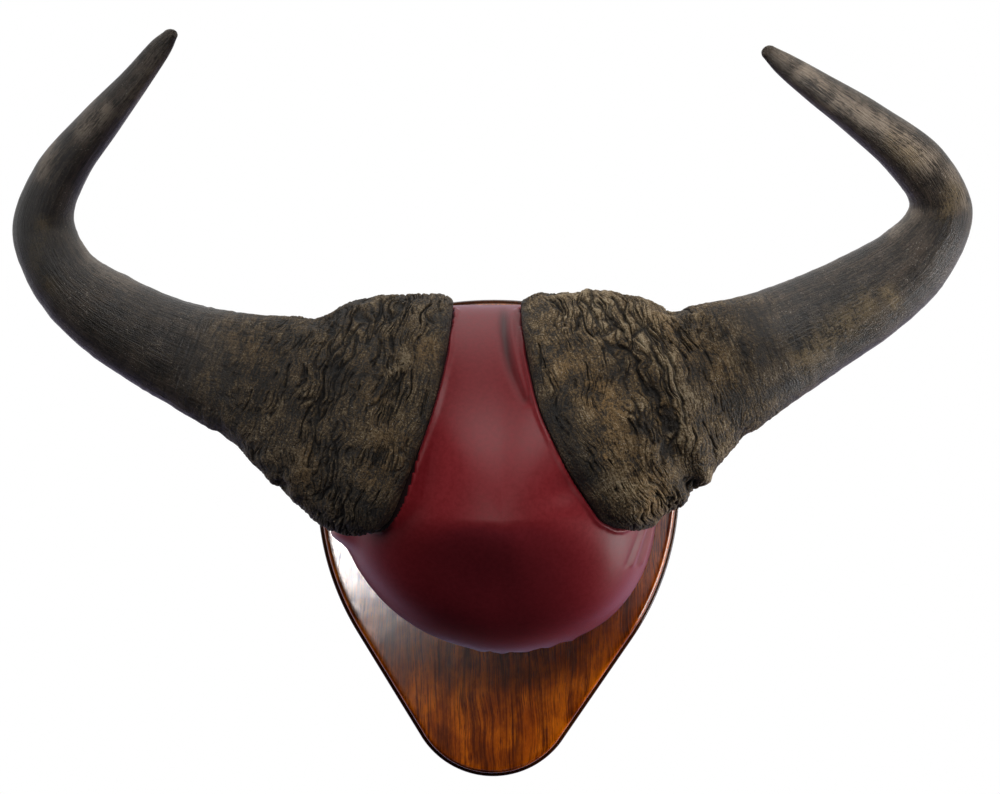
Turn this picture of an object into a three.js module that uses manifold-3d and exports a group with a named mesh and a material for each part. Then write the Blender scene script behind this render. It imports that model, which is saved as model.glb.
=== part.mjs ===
// A pair of African buffalo horns on a leather-covered forehead block and a wooden shield.
//
// Millimetres, +Z up. The wall is the plane Y = 0 and the trophy faces -Y, so "depth" below
// is the distance out from the wall. The origin is the centre of the shield's back.

import * as THREE from 'three';
import { mergeVertices } from 'three/addons/utils/BufferGeometryUtils.js';
import Module from 'manifold-3d';

const wasm = await Module();
wasm.setup();

// ---------------------------------------------------------------- driving dimensions

const FIT_GAP = 0.3; // clearance left between two pieces that touch
const FULL_TURN = 2 * Math.PI;

const SHIELD = {
  top: 246, // height of the top edge above the origin
  bottom: -249,
  halfWidth: 188,
  widestHeight: 50, // where the sides are vertical
  thickness: 22,
  tipRadius: 88,
  flankAngle: THREE.MathUtils.degToRad(33), // straight flank, away from the vertical
  upperSideRadius: 900,
  upperSideAngle: THREE.MathUtils.degToRad(7.2),
  shoulderRadius: 70,
  roll: THREE.MathUtils.degToRad(1.5), // hangs slightly out of true with the horns
};

// Moulded edge, from the back to the front face: [inset from the full outline, depth].
const MOULDING = [
  [2, 0], [0, 2], [0, 9], [1.2, 11.4], [3.4, 12.6], [4.2, 15.6], [4.6, 18], [5.7, 20.2],
  [7.1, 21.6], [8.4, 22],
];

// The block that stands in for the forehead, measured over its leather.
const DOME = {
  crown: { x: 5, z: 25, depth: 188 },
  leather: 1.4,
  outlineSteps: 36,
  rings: 9,
  slump: 0.115, // how far the lower half sags in, as a share of the rise
};

// Where the leather meets the shield, clockwise from the top: [x, z].
const DOME_OUTLINE = [
  [0, 240], [70, 236], [115, 212], [140, 165], [152, 100], [164, 40], [159, -12],
  [142, -52], [112, -86], [66, -109], [5, -119], [-50, -108], [-92, -87], [-128, -54],
  [-154, -10], [-160, 40], [-150, 100], [-138, 165], [-113, 212], [-68, 236],
];

// Over its first stations a horn's sections turn from straight out of the wall to square
// across the horn.
const HORN = { lengthSteps: 42, sides: 20, tipRings: 3, uprightStations: 3 };

// A station is one cross-section: its upper and lower points [x, z], the depth of its
// middle, how much further out the lower point leans than the upper one, its half
// thickness and, near the forehead, how far its middle bows towards the centre.
const LEFT_HORN = [
  { up: [-43, 242], low: [-106, 25], depth: 110, lean: 40, thick: 50, bow: 14 },
  { up: [-49, 249], low: [-120, 13], depth: 110, lean: 40, thick: 56, bow: 13 },
  { up: [-78, 250], low: [-150, 9], depth: 111, lean: 37, thick: 61, bow: 9 },
  { up: [-119, 248], low: [-178, 19], depth: 112, lean: 30, thick: 62, bow: 4 },
  { up: [-159, 239], low: [-206, 44], depth: 108, lean: 20, thick: 55, bow: 0 },
  { up: [-204, 227], low: [-254, 86], depth: 100, lean: 12, thick: 45, bow: 0 },
  { up: [-260, 230], low: [-299, 118], depth: 92, lean: 7, thick: 41, bow: 0 },
  { up: [-321, 244], low: [-365, 157], depth: 84, lean: 3, thick: 38, bow: 0 },
  { up: [-377, 269], low: [-428, 201], depth: 80, lean: 0, thick: 36, bow: 0 },
  { up: [-413, 291], low: [-471, 252], depth: 80, lean: 0, thick: 34, bow: 0 },
  { up: [-428, 325], low: [-490, 315], depth: 86, lean: 0, thick: 30, bow: 0 },
  { up: [-413, 364], low: [-465, 377], depth: 102, lean: 0, thick: 26, bow: 0 },
  { up: [-377, 411], low: [-414, 429], depth: 128, lean: 0, thick: 21.5, bow: 0 },
  { up: [-343, 452], low: [-367, 467], depth: 160, lean: 0, thick: 15.5, bow: 0 },
  { up: [-319, 482], low: [-336, 494], depth: 186, lean: 0, thick: 10, bow: 0 },
  { up: [-312, 494], low: [-325, 500], depth: 196, lean: 0, thick: 7, bow: 0 },
];

const RIGHT_HORN = [
  { up: [22, 242], low: [99, 27], depth: 110, lean: 40, thick: 50, bow: 19 },
  { up: [29, 248], low: [114, 16], depth: 110, lean: 40, thick: 56, bow: 18 },
  { up: [59, 251], low: [144, 14], depth: 111, lean: 37, thick: 61, bow: 12 },
  { up: [104, 252], low: [170, 32], depth: 112, lean: 30, thick: 62, bow: 5 },
  { up: [145, 243], low: [202, 56], depth: 108, lean: 20, thick: 55, bow: 0 },
  { up: [190, 237], low: [242, 96], depth: 100, lean: 12, thick: 45, bow: 0 },
  { up: [241, 246], low: [290, 133], depth: 92, lean: 7, thick: 41, bow: 0 },
  { up: [297, 264], low: [347, 172], depth: 84, lean: 3, thick: 38, bow: 0 },
  { up: [353, 289], low: [411, 217], depth: 80, lean: 0, thick: 36, bow: 0 },
  { up: [392, 311], low: [456, 264], depth: 80, lean: 0, thick: 34, bow: 0 },
  { up: [417, 338], low: [481, 332], depth: 86, lean: 0, thick: 30, bow: 0 },
  { up: [393, 372], low: [450, 392], depth: 102, lean: 0, thick: 26, bow: 0 },
  { up: [348, 409], low: [385, 435], depth: 128, lean: 0, thick: 21.5, bow: 0 },
  { up: [307, 437], low: [326, 463], depth: 160, lean: 0, thick: 15.5, bow: 0 },
  { up: [273, 462], low: [286, 480], depth: 186, lean: 0, thick: 10, bow: 0 },
  { up: [260, 475], low: [270, 486], depth: 196, lean: 0, thick: 7, bow: 0 },
];

// Keyhole hanger let into the shield's back, centred at this height.
const HANGER = {
  height: 185,
  length: 64,
  width: 22,
  thickness: 2,
  entryRadius: 4.5, // the wall screw's head goes in here
  slotHalfWidth: 2.2,
  slotRise: 9,
  screwSpacing: 46,
  recess: 2.6,
  mortiseWidth: 20,
  mortiseHeight: 18,
  mortiseDepth: 10,
};
const HANGER_SCREW = { headRadius: 3.3, shankRadius: 1.6, headHeight: 1.9, headEdge: 0.2, length: 15 };

// Screws from the shield's back into the block: [x, z] on the shield.
const BLOCK_SCREW_PLACES = [[0, 120], [-70, -30], [70, -30]];
const BLOCK_SCREW = { headRadius: 6.5, shankRadius: 3, headHeight: 4.6, headEdge: 4.3, length: 58 };
const COUNTERBORE = { radius: 8.5, depth: 7 };

// ---------------------------------------------------------------- solids and meshes

/** Returns the geometry as one closed manifold-3d solid. */
function toSolid(geometry) {
  const bare = geometry.clone();
  bare.deleteAttribute('normal');
  bare.deleteAttribute('uv');
  const merged = mergeVertices(bare, 1e-4);
  return new wasm.Manifold(new wasm.Mesh({
    numProp: 3,
    vertProperties: new Float32Array(merged.attributes.position.array),
    triVerts: new Uint32Array(merged.index.array),
  }));
}

/** Returns a manifold-3d solid as a three.js geometry. */
function toGeometry(solid) {
  const mesh = solid.getMesh();
  const geometry = new THREE.BufferGeometry();
  geometry.setAttribute('position', new THREE.BufferAttribute(mesh.vertProperties, 3));
  geometry.setIndex(new THREE.BufferAttribute(mesh.triVerts, 1));
  geometry.computeVertexNormals();
  return geometry;
}

/** The point at [x, z], so far out from the wall. */
function atDepth([x, z], depth) {
  return new THREE.Vector3(x, -depth, z);
}

/** Six times the signed volume; negative where the faces point inwards. */
function signedVolume(geometry) {
  const position = geometry.attributes.position;
  const index = geometry.index;
  const [a, b, c] = [new THREE.Vector3(), new THREE.Vector3(), new THREE.Vector3()];
  let volume = 0;
  for (let i = 0; i < index.count; i += 3) {
    a.fromBufferAttribute(position, index.getX(i));
    b.fromBufferAttribute(position, index.getX(i + 1));
    c.fromBufferAttribute(position, index.getX(i + 2));
    volume += a.dot(b.cross(c));
  }
  return volume;
}

/** Skins a row of equal rings and closes it with a fan to a point at each end. */
function loft(rings, firstPoint, lastPoint) {
  const sides = rings[0].length;
  const points = [...rings.flat(), firstPoint, lastPoint];
  const first = points.length - 2;
  const last = points.length - 1;
  const tail = (rings.length - 1) * sides;
  const faces = [];
  for (let side = 0; side < sides; side += 1) {
    const next = (side + 1) % sides;
    for (let ring = 0; ring < rings.length - 1; ring += 1) {
      const low = ring * sides;
      const high = low + sides;
      faces.push(low + side, low + next, high + next, low + side, high + next, high + side);
    }
    faces.push(first, next, side, last, tail + side, tail + next);
  }
  const geometry = new THREE.BufferGeometry().setFromPoints(points);
  geometry.setIndex(faces);
  if (signedVolume(geometry) < 0) geometry.setIndex(faces.reverse());
  geometry.computeVertexNormals();
  return geometry;
}

/** A round bar along Y, from one depth to another. */
function bar(radius, fromDepth, toDepth, [x, z], sides = 12) {
  const geometry = new THREE.CylinderGeometry(radius, radius, toDepth - fromDepth, sides);
  return geometry.translate(x, -(fromDepth + toDepth) / 2, z);
}

/** A box that reaches from one depth to another, centred at [x, z]. */
function slab(width, height, fromDepth, toDepth, [x, z]) {
  const geometry = new THREE.BoxGeometry(width, toDepth - fromDepth, height);
  return geometry.translate(x, -(fromDepth + toDepth) / 2, z);
}

// ---------------------------------------------------------------- shield

function arcPoints([x, z], radius, from, to, steps) {
  return Array.from({ length: steps }, (_, i) => {
    const angle = THREE.MathUtils.lerp(from, to, i / steps);
    return [x + radius * Math.cos(angle), z + radius * Math.sin(angle)];
  });
}

/** Outline of the shield, drawn in by the inset: five tangent arcs a side. */
function shieldOutline(inset) {
  const { top, bottom, halfWidth, widestHeight, tipRadius, shoulderRadius } = SHIELD;
  const flank = -SHIELD.flankAngle;
  const shoulder = SHIELD.upperSideAngle;
  const tip = [0, bottom + tipRadius];
  const reach = Math.sin(flank) * (tip[1] - widestHeight) + tipRadius;
  const flankRadius = (reach - Math.cos(flank) * halfWidth) / (1 - Math.cos(flank));
  const flankCentre = [halfWidth - flankRadius, widestHeight];
  const sideCentre = [halfWidth - SHIELD.upperSideRadius, widestHeight];
  const inner = SHIELD.upperSideRadius - shoulderRadius;
  const shoulderCentre = [
    sideCentre[0] + inner * Math.cos(shoulder),
    sideCentre[1] + inner * Math.sin(shoulder),
  ];
  const drop = shoulderCentre[1] - top;
  const topRadius = (shoulderRadius ** 2 - shoulderCentre[0] ** 2 - drop ** 2)
    / (2 * (drop + shoulderRadius));
  const topCentre = [0, top - topRadius];
  const crest = Math.atan2(shoulderCentre[1] - topCentre[1], shoulderCentre[0]);
  const half = [
    ...arcPoints(tip, tipRadius - inset, -Math.PI / 2, flank, 5),
    ...arcPoints(tip, tipRadius - inset, flank, flank, 1),
    ...arcPoints(flankCentre, flankRadius - inset, flank, 0, 4),
    ...arcPoints(sideCentre, SHIELD.upperSideRadius - inset, 0, shoulder, 2),
    ...arcPoints(shoulderCentre, shoulderRadius - inset, shoulder, crest, 5),
    ...arcPoints(topCentre, topRadius - inset, crest, Math.PI / 2, 3),
    [0, top - inset],
  ];
  const mirrored = half.slice(1, -1).reverse().map(([x, z]) => [-x, z]);
  return [...half, ...mirrored];
}

function shieldGeometry() {
  const rings = MOULDING.map(([inset, depth]) => (
    shieldOutline(inset).map((point) => atDepth(point, depth))
  ));
  const { height, length, width, recess, mortiseWidth, mortiseHeight, mortiseDepth } = HANGER;
  let board = toSolid(loft(rings, atDepth([0, 0], 0), atDepth([0, 0], SHIELD.thickness)));
  const cuts = [
    hangerBlank(length + 2 * FIT_GAP, width + 2 * FIT_GAP, -1, recess),
    slab(mortiseWidth, mortiseHeight, -1, mortiseDepth, [0, height]),
    ...hangerScrewPlaces().map((place) => (
      bar(HANGER_SCREW.shankRadius + FIT_GAP, -1, HANGER_SCREW.length + 2, place)
    )),
    ...BLOCK_SCREW_PLACES.flatMap((place) => [
      bar(BLOCK_SCREW.shankRadius + FIT_GAP, -1, SHIELD.thickness + 1, place),
      bar(COUNTERBORE.radius, -1, COUNTERBORE.depth, place, 18),
    ]),
  ];
  for (const cut of cuts) board = board.subtract(toSolid(cut));
  return toGeometry(board);
}

// ---------------------------------------------------------------- forehead block and leather

/**
 * The dome as a closed solid, grown outwards along its normals and closed with a flat back
 * at the base depth. Each profile from the crown down to the outline is a superellipse, and
 * the lower half sags in a little.
 */
function domeSolid(grow, baseDepth) {
  const { crown, outlineSteps, rings } = DOME;
  const outline = new THREE.CatmullRomCurve3(
    DOME_OUTLINE.map((point) => atDepth(point, SHIELD.thickness)),
    true,
  );
  const rise = crown.depth - SHIELD.thickness;
  const points = [atDepth([crown.x, crown.z], crown.depth)];
  for (let ring = 1; ring <= rings; ring += 1) {
    const angle = (Math.PI / 2) * (ring / rings);
    for (let step = 0; step < outlineSteps; step += 1) {
      const edge = outline.getPoint(step / outlineSteps);
      const dx = edge.x - crown.x;
      const dz = edge.z - crown.z;
      const reach = Math.hypot(dx, dz);
      const power = 1.72 + 0.36 * Math.sqrt((dx / reach) ** 2 + 0.02);
      const across = Math.sin(angle) ** 1.05;
      const below = THREE.MathUtils.smoothstep(-dz / reach, -0.05, 0.95);
      const sag = DOME.slump * below * 16 * across ** 2 * (1 - across) ** 2;
      const out = ring === rings ? 0 : (1 - across ** power) ** (1 / power) - sag;
      points.push(atDepth(
        [crown.x + dx * across, crown.z + dz * across],
        SHIELD.thickness + rise * out,
      ));
    }
  }
  const faces = [];
  for (let step = 0; step < outlineSteps; step += 1) {
    const next = (step + 1) % outlineSteps;
    faces.push(0, 1 + step, 1 + next);
    for (let ring = 0; ring < rings - 1; ring += 1) {
      const near = 1 + ring * outlineSteps;
      const far = near + outlineSteps;
      faces.push(near + step, far + step, far + next, near + step, far + next, near + next);
    }
  }
  const skin = new THREE.BufferGeometry().setFromPoints(points);
  skin.setIndex(faces);
  skin.computeVertexNormals();
  const normals = skin.attributes.normal;
  const outwards = Math.sign(-normals.getY(0));
  const grown = points.map((point, i) => (
    point.clone().addScaledVector(new THREE.Vector3().fromBufferAttribute(normals, i), grow * outwards)
  ));
  const levels = Array.from({ length: rings }, (_, ring) => (
    grown.slice(1 + ring * outlineSteps, 1 + (ring + 1) * outlineSteps)
  ));
  const foot = levels.at(-1).map((point) => new THREE.Vector3(point.x, -baseDepth, point.z));
  return toSolid(loft([...levels, foot], grown[0], atDepth([crown.x, crown.z], baseDepth)));
}

/** Everything in front of the shield's face. */
function frontOfShield() {
  return toSolid(slab(800, 800, SHIELD.thickness + FIT_GAP, 400, [0, 0]));
}

function coverGeometry() {
  const shell = domeSolid(0, 12).subtract(domeSolid(-DOME.leather, 6));
  return toGeometry(shell.intersect(frontOfShield()));
}

function blockGeometry() {
  let block = domeSolid(-DOME.leather - FIT_GAP, 12).intersect(frontOfShield());
  const holeDepth = COUNTERBORE.depth + BLOCK_SCREW.length;
  for (const place of BLOCK_SCREW_PLACES) {
    const hole = bar(BLOCK_SCREW.shankRadius + FIT_GAP, 0, holeDepth, place);
    block = block.subtract(toSolid(hole.rotateY(SHIELD.roll)));
  }
  return toGeometry(block);
}

// ---------------------------------------------------------------- horns

/** One ring of a horn at the parameter t, 0 at the forehead and 1 at the tip. */
function hornRing(curves, t) {
  const { upper, lower, form } = curves;
  const middle = (s) => upper.getPoint(s).add(lower.getPoint(s)).multiplyScalar(0.5);
  const centre = middle(t);
  const along = middle(Math.min(t + 0.01, 1)).sub(middle(Math.max(t - 0.01, 0))).normalize();
  const half = upper.getPoint(t).sub(lower.getPoint(t)).multiplyScalar(0.5);
  const front = along.clone().cross(half).normalize();
  if (front.y > 0) front.negate();
  const station = t * (upper.points.length - 1);
  const square = THREE.MathUtils.smoothstep(station, 0, HORN.uprightStations);
  front.multiplyScalar(square).addScaledVector(new THREE.Vector3(0, -1, 0), 1 - square);
  const { x: thick, y: bow } = form.getPoint(t);
  return { centre, along, half, front, thick, bow };
}

function ringPoints({ centre, along, half, front, thick, bow }, scale = 1) {
  return Array.from({ length: HORN.sides }, (_, side) => {
    const angle = FULL_TURN * (side / HORN.sides);
    return centre.clone()
      .addScaledVector(half, Math.cos(angle) * scale)
      .addScaledVector(front, thick * Math.sin(angle) * scale)
      .addScaledVector(along, -bow * Math.sin(angle) ** 2);
  });
}

/** A horn: a loft through its stations, rounded at the tip and cut to sit on the leather. */
function hornGeometry(stations) {
  const curves = {
    upper: new THREE.CatmullRomCurve3(stations.map((s) => atDepth(s.up, s.depth - s.lean))),
    lower: new THREE.CatmullRomCurve3(stations.map((s) => atDepth(s.low, s.depth + s.lean))),
    form: new THREE.CatmullRomCurve3(stations.map((s) => new THREE.Vector3(s.thick, s.bow, 0))),
  };
  const rings = Array.from({ length: HORN.lengthSteps + 1 }, (_, i) => (
    hornRing(curves, i / HORN.lengthSteps)
  ));
  const root = rings[0];
  const end = rings.at(-1);
  const point = end.thick;
  const cap = Array.from({ length: HORN.tipRings }, (_, i) => {
    const angle = (Math.PI / 2) * ((i + 1) / (HORN.tipRings + 1));
    const centre = end.centre.clone().addScaledVector(end.along, point * Math.sin(angle));
    return ringPoints({ ...end, centre }, Math.cos(angle));
  });
  const horn = toSolid(loft(
    [...rings.map((ring) => ringPoints(ring)), ...cap],
    root.centre.clone().addScaledVector(root.along, -root.bow),
    end.centre.clone().addScaledVector(end.along, point),
  ));
  return toGeometry(horn.subtract(domeSolid(FIT_GAP, 6)));
}

// ---------------------------------------------------------------- hanger and screws

function hangerScrewPlaces() {
  return [-1, 1].map((side) => [side * HANGER.screwSpacing / 2, HANGER.height]);
}

/** An oblong with round ends, extruded from one depth to another. */
function hangerBlank(length, width, fromDepth, toDepth, holes = []) {
  const radius = width / 2;
  const straight = length / 2 - radius;
  const shape = new THREE.Shape();
  shape.absarc(straight, 0, radius, -Math.PI / 2, Math.PI / 2);
  shape.absarc(-straight, 0, radius, Math.PI / 2, (3 * Math.PI) / 2);
  shape.holes.push(...holes);
  const options = { depth: toDepth - fromDepth, bevelEnabled: false, curveSegments: 6 };
  const geometry = new THREE.ExtrudeGeometry(shape, options);
  return geometry.rotateX(Math.PI / 2).translate(0, -fromDepth, HANGER.height);
}

/** The round entry and the narrow slot above it, as one outline. */
function keyhole() {
  const { entryRadius, slotHalfWidth, slotRise } = HANGER;
  const entryHeight = -3;
  const mouth = Math.asin(slotHalfWidth / entryRadius);
  const path = new THREE.Path();
  path.absarc(0, entryHeight, entryRadius, Math.PI / 2 - mouth, Math.PI / 2 + mouth - FULL_TURN, true);
  path.absarc(0, entryHeight + slotRise, slotHalfWidth, Math.PI, 0, true);
  path.closePath();
  return path;
}

function hangerGeometry() {
  let plate = toSolid(hangerBlank(
    HANGER.length,
    HANGER.width,
    FIT_GAP,
    FIT_GAP + HANGER.thickness,
    [keyhole()],
  ));
  const { headRadius, shankRadius, headHeight } = HANGER_SCREW;
  const clear = FIT_GAP * Math.SQRT2;
  const flare = (headRadius - shankRadius) / headHeight;
  for (const place of hangerScrewPlaces()) {
    const depth = FIT_GAP + headHeight;
    const countersink = new THREE.CylinderGeometry(
      headRadius + clear + flare * FIT_GAP,
      shankRadius + clear,
      depth,
      12,
    ).translate(place[0], -depth / 2, place[1]);
    plate = plate.subtract(toSolid(countersink));
    plate = plate.subtract(toSolid(bar(shankRadius + clear, 1, 4, place)));
  }
  return toGeometry(plate);
}

/** A wood screw along Y: its head faces the wall and its point goes into the wood. */
function screwGeometry({ headRadius, shankRadius, headHeight, length, headEdge }) {
  const profile = [
    new THREE.Vector2(0, -length),
    new THREE.Vector2(shankRadius, -length + 3 * shankRadius),
    new THREE.Vector2(shankRadius, -headHeight),
    new THREE.Vector2(headRadius, -headEdge),
    new THREE.Vector2(headRadius * 0.7, 0),
    new THREE.Vector2(0, 0),
  ];
  return toGeometry(toSolid(new THREE.LatheGeometry(profile, 12)));
}

// ---------------------------------------------------------------- assembly

const material = (color, roughness, metalness = 0) => (
  new THREE.MeshStandardMaterial({ color, roughness, metalness })
);
const hornMaterial = material('#453c31', 0.75);
const steelMaterial = material('#8d8f92', 0.4, 0.9);

function piece(name, geometry, finish) {
  const mesh = new THREE.Mesh(geometry, finish);
  mesh.name = name;
  return mesh;
}

const trophy = new THREE.Group();
trophy.add(
  piece('left_horn', hornGeometry(LEFT_HORN), hornMaterial),
  piece('right_horn', hornGeometry(RIGHT_HORN), hornMaterial),
  piece('leather_cover', coverGeometry(), material('#6f2b32', 0.45)),
  piece('forehead_block', blockGeometry(), material('#c19a6b', 0.8)),
);

const shield = new THREE.Group();
shield.rotation.y = SHIELD.roll;
shield.add(
  piece('shield_plaque', shieldGeometry(), material('#6d3513', 0.25)),
  piece('hanger_plate', hangerGeometry(), steelMaterial),
);
hangerScrewPlaces().forEach(([x, z], i) => {
  const screw = piece(`hanger_screw_${i + 1}`, screwGeometry(HANGER_SCREW), steelMaterial);
  screw.position.set(x, -FIT_GAP, z);
  shield.add(screw);
});
BLOCK_SCREW_PLACES.forEach(([x, z], i) => {
  const screw = piece(`block_screw_${i + 1}`, screwGeometry(BLOCK_SCREW), steelMaterial);
  screw.position.set(x, BLOCK_SCREW.headHeight - COUNTERBORE.depth + FIT_GAP, z);
  shield.add(screw);
});
trophy.add(shield);

export default trophy;
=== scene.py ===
"""A pair of mounted African buffalo horns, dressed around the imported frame.

Everything is in metres in the frame's own axes: +Z up, the wall is the plane Y = 0 and the
trophy faces -Y, so "depth" is the distance out from the wall. Sizes that come from the
construction are written in millimetres and multiplied by MM.
"""

import functools
import logging
import math
from collections.abc import Callable, Sequence
from dataclasses import dataclass, field
from enum import Enum

import bmesh
import bpy
import numpy as np
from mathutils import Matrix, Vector
from mathutils.bvhtree import BVHTree


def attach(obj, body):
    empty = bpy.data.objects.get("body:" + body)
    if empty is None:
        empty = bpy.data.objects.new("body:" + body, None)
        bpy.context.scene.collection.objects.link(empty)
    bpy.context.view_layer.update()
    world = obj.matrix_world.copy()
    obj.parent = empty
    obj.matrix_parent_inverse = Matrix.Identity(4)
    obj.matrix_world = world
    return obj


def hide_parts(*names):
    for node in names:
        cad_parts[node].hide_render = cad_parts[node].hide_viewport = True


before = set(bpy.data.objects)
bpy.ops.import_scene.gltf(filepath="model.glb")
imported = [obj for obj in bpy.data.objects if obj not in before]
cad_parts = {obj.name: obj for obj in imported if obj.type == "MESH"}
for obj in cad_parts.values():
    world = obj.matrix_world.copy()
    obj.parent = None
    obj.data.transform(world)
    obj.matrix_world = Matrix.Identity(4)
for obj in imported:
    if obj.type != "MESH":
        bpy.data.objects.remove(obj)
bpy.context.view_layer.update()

MM = 0.001
BODY = "root"
FULL_TURN = 2 * math.pi
WALL_GAP = 0.3 * MM  # clearance that the construction keeps between touching pieces

log = logging.getLogger("trophy")

Colour = tuple[float, float, float]
Array = np.ndarray
Pair = tuple[float, float]
Point = tuple[float, float, float]
Thing, Mesh, Material = bpy.types.Object, bpy.types.Mesh, bpy.types.Material
BMesh = bmesh.types.BMesh


# ---- node helpers


class Cell(Enum):
    """What a Voronoi texture measures."""

    CENTRE = "F1"
    EDGE = "DISTANCE_TO_EDGE"


class Graph:
    """Adds nodes to one node tree and wires them."""

    def __init__(self, tree: bpy.types.NodeTree) -> None:
        """Wrap a tree."""
        self.tree = tree

    def node(self, kind: str, inputs: dict | None = None, **settings: object) -> bpy.types.Node:
        """Add a node.

        Args:
            kind: The node's type name.
            inputs: Values or sockets by input name or index.
            **settings: Properties of the node.

        Returns:
            The new node.
        """
        made = self.tree.nodes.new(kind)
        for name, value in settings.items():
            setattr(made, name, value)
        for key, value in (inputs or {}).items():
            self.feed(made.inputs[key], value)
        return made

    def feed(self, socket: bpy.types.NodeSocket, value: object) -> None:
        """Link a socket, or set its default value.

        Args:
            socket: The input to feed.
            value: Another node's output, a plain value, or None to leave it as it is.
        """
        if isinstance(value, bpy.types.NodeSocket):
            self.tree.links.new(value, socket)
        elif value is not None:
            socket.default_value = value

    def math(self, operation: str, a: object, b: object = None) -> object:
        """Return the result of one Math node."""
        return self.node("ShaderNodeMath", {0: a, 1: b}, operation=operation).outputs[0]

    def plus(self, *values: object) -> object:
        """Return the sum of the values."""
        return functools.reduce(lambda a, b: self.math("ADD", a, b), values)

    def times(self, *values: object) -> object:
        """Return the product of the values."""
        return functools.reduce(lambda a, b: self.math("MULTIPLY", a, b), values)

    def blend(self, *terms: tuple[object, float]) -> object:
        """Return the sum of the values, each times its weight."""
        return self.plus(*(self.times(value, weight) for value, weight in terms))

    def minus(self, a: object, b: object) -> object:
        """Return a less b."""
        return self.math("SUBTRACT", a, b)

    def vector(self, operation: str, a: object, b: object = None, scale: object = None) -> object:
        """Return the vector result of one Vector Math node."""
        inputs = {0: a, 1: b} if scale is None else {0: a, "Scale": scale}
        return self.node("ShaderNodeVectorMath", inputs, operation=operation).outputs[0]

    def split(self, vector: object) -> tuple:
        """Return a vector's three components."""
        return tuple(self.node("ShaderNodeSeparateXYZ", {0: vector}).outputs)

    def join(self, x: object, y: object, z: object) -> object:
        """Return a vector made from three components."""
        return self.node("ShaderNodeCombineXYZ", {0: x, 1: y, 2: z}).outputs[0]

    def remap(self, value: object, low: float, high: float, to_low: float = 0.0,
              to_high: float = 1.0, smooth: bool = True) -> object:
        """Map a value from one range to another, clamped.

        Args:
            value: The value to map.
            low: Where the first range starts.
            high: Where it ends.
            to_low: Result at its start.
            to_high: Result at its end.
            smooth: Whether the result eases in and out.

        Returns:
            The mapped value.
        """
        made = self.node("ShaderNodeMapRange", {
            "Value": value, "From Min": low, "From Max": high,
            "To Min": to_low, "To Max": to_high,
        })
        made.interpolation_type = "SMOOTHSTEP" if smooth else "LINEAR"
        return made.outputs[0]

    def noise(self, vector: object, scale: float, detail: float = 3.0, roughness: float = 0.5,
              colour: bool = False) -> object:
        """Add a noise texture.

        Args:
            vector: The place where it is read.
            scale: Its features to the metre.
            detail: How many finer octaves it has.
            roughness: How strong they are.
            colour: Whether to return three values as a vector.

        Returns:
            The noise, from about 0 to 1.
        """
        made = self.node("ShaderNodeTexNoise", {
            "Vector": vector, "Scale": scale, "Detail": detail, "Roughness": roughness,
        })
        return made.outputs["Color" if colour else 0]

    def cells(self, vector: object, scale: float, measure: Cell = Cell.CENTRE) -> object:
        """Return a Voronoi distance."""
        inputs = {"Vector": vector, "Scale": scale}
        return self.node("ShaderNodeTexVoronoi", inputs, feature=measure.value).outputs["Distance"]

    def mix(self, factor: object, a: object, b: object, blend: str = "MIX") -> object:
        """Mix two colours.

        Args:
            factor: The share of the second, from 0 to 1.
            a: The first colour.
            b: The second colour.
            blend: How they mix.

        Returns:
            The mixed colour.
        """
        made = self.node("ShaderNodeMix", data_type="RGBA", blend_type=blend)
        for index, value in ((0, factor), (6, rgba(a)), (7, rgba(b))):
            self.feed(made.inputs[index], value)
        return made.outputs[2]

    def crack(self, field_value: object, width: float) -> object:
        """Return 1 in a thin line where the field crosses one half, 0 away from it."""
        distance = self.math("ABSOLUTE", self.minus(field_value, 0.5))
        return self.remap(distance, 0.0, width, 1.0, 0.0)


def rgba(colour: object) -> object:
    """Return a colour with an alpha of 1, or the socket it was given."""
    return (*colour, 1.0) if isinstance(colour, tuple) and len(colour) == 3 else colour


class Surface:
    """A material under construction: its graph and its Principled shader."""

    def __init__(self, name: str) -> None:
        """Make an empty material with a Principled shader.

        Args:
            name: The material's name.
        """
        self.material = bpy.data.materials.new(name)
        self.material.use_nodes = True
        tree = self.material.node_tree
        tree.nodes.clear()
        self.graph = Graph(tree)
        self.shader = self.graph.node("ShaderNodeBsdfPrincipled")
        output = self.graph.node("ShaderNodeOutputMaterial")
        tree.links.new(self.shader.outputs[0], output.inputs[0])
        self.place = self.graph.node("ShaderNodeTexCoord").outputs["Object"]

    def set(self, **values: object) -> None:
        """Set or link the shader's inputs, named with underscores for spaces."""
        for name, value in values.items():
            self.graph.feed(self.shader.inputs[name.replace("_", " ")], rgba(value))

    def attribute(self, name: str, vector: bool = False) -> object:
        """Return a mesh attribute as a factor or a vector."""
        node = self.graph.node("ShaderNodeAttribute", attribute_name=name)
        return node.outputs["Vector" if vector else "Fac"]

    def bump(self, height: object, strength: float, distance: float) -> object:
        """Return a bumped normal."""
        inputs = {"Height": height, "Strength": strength, "Distance": distance}
        return self.graph.node("ShaderNodeBump", inputs).outputs[0]


# ---- finishes


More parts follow.
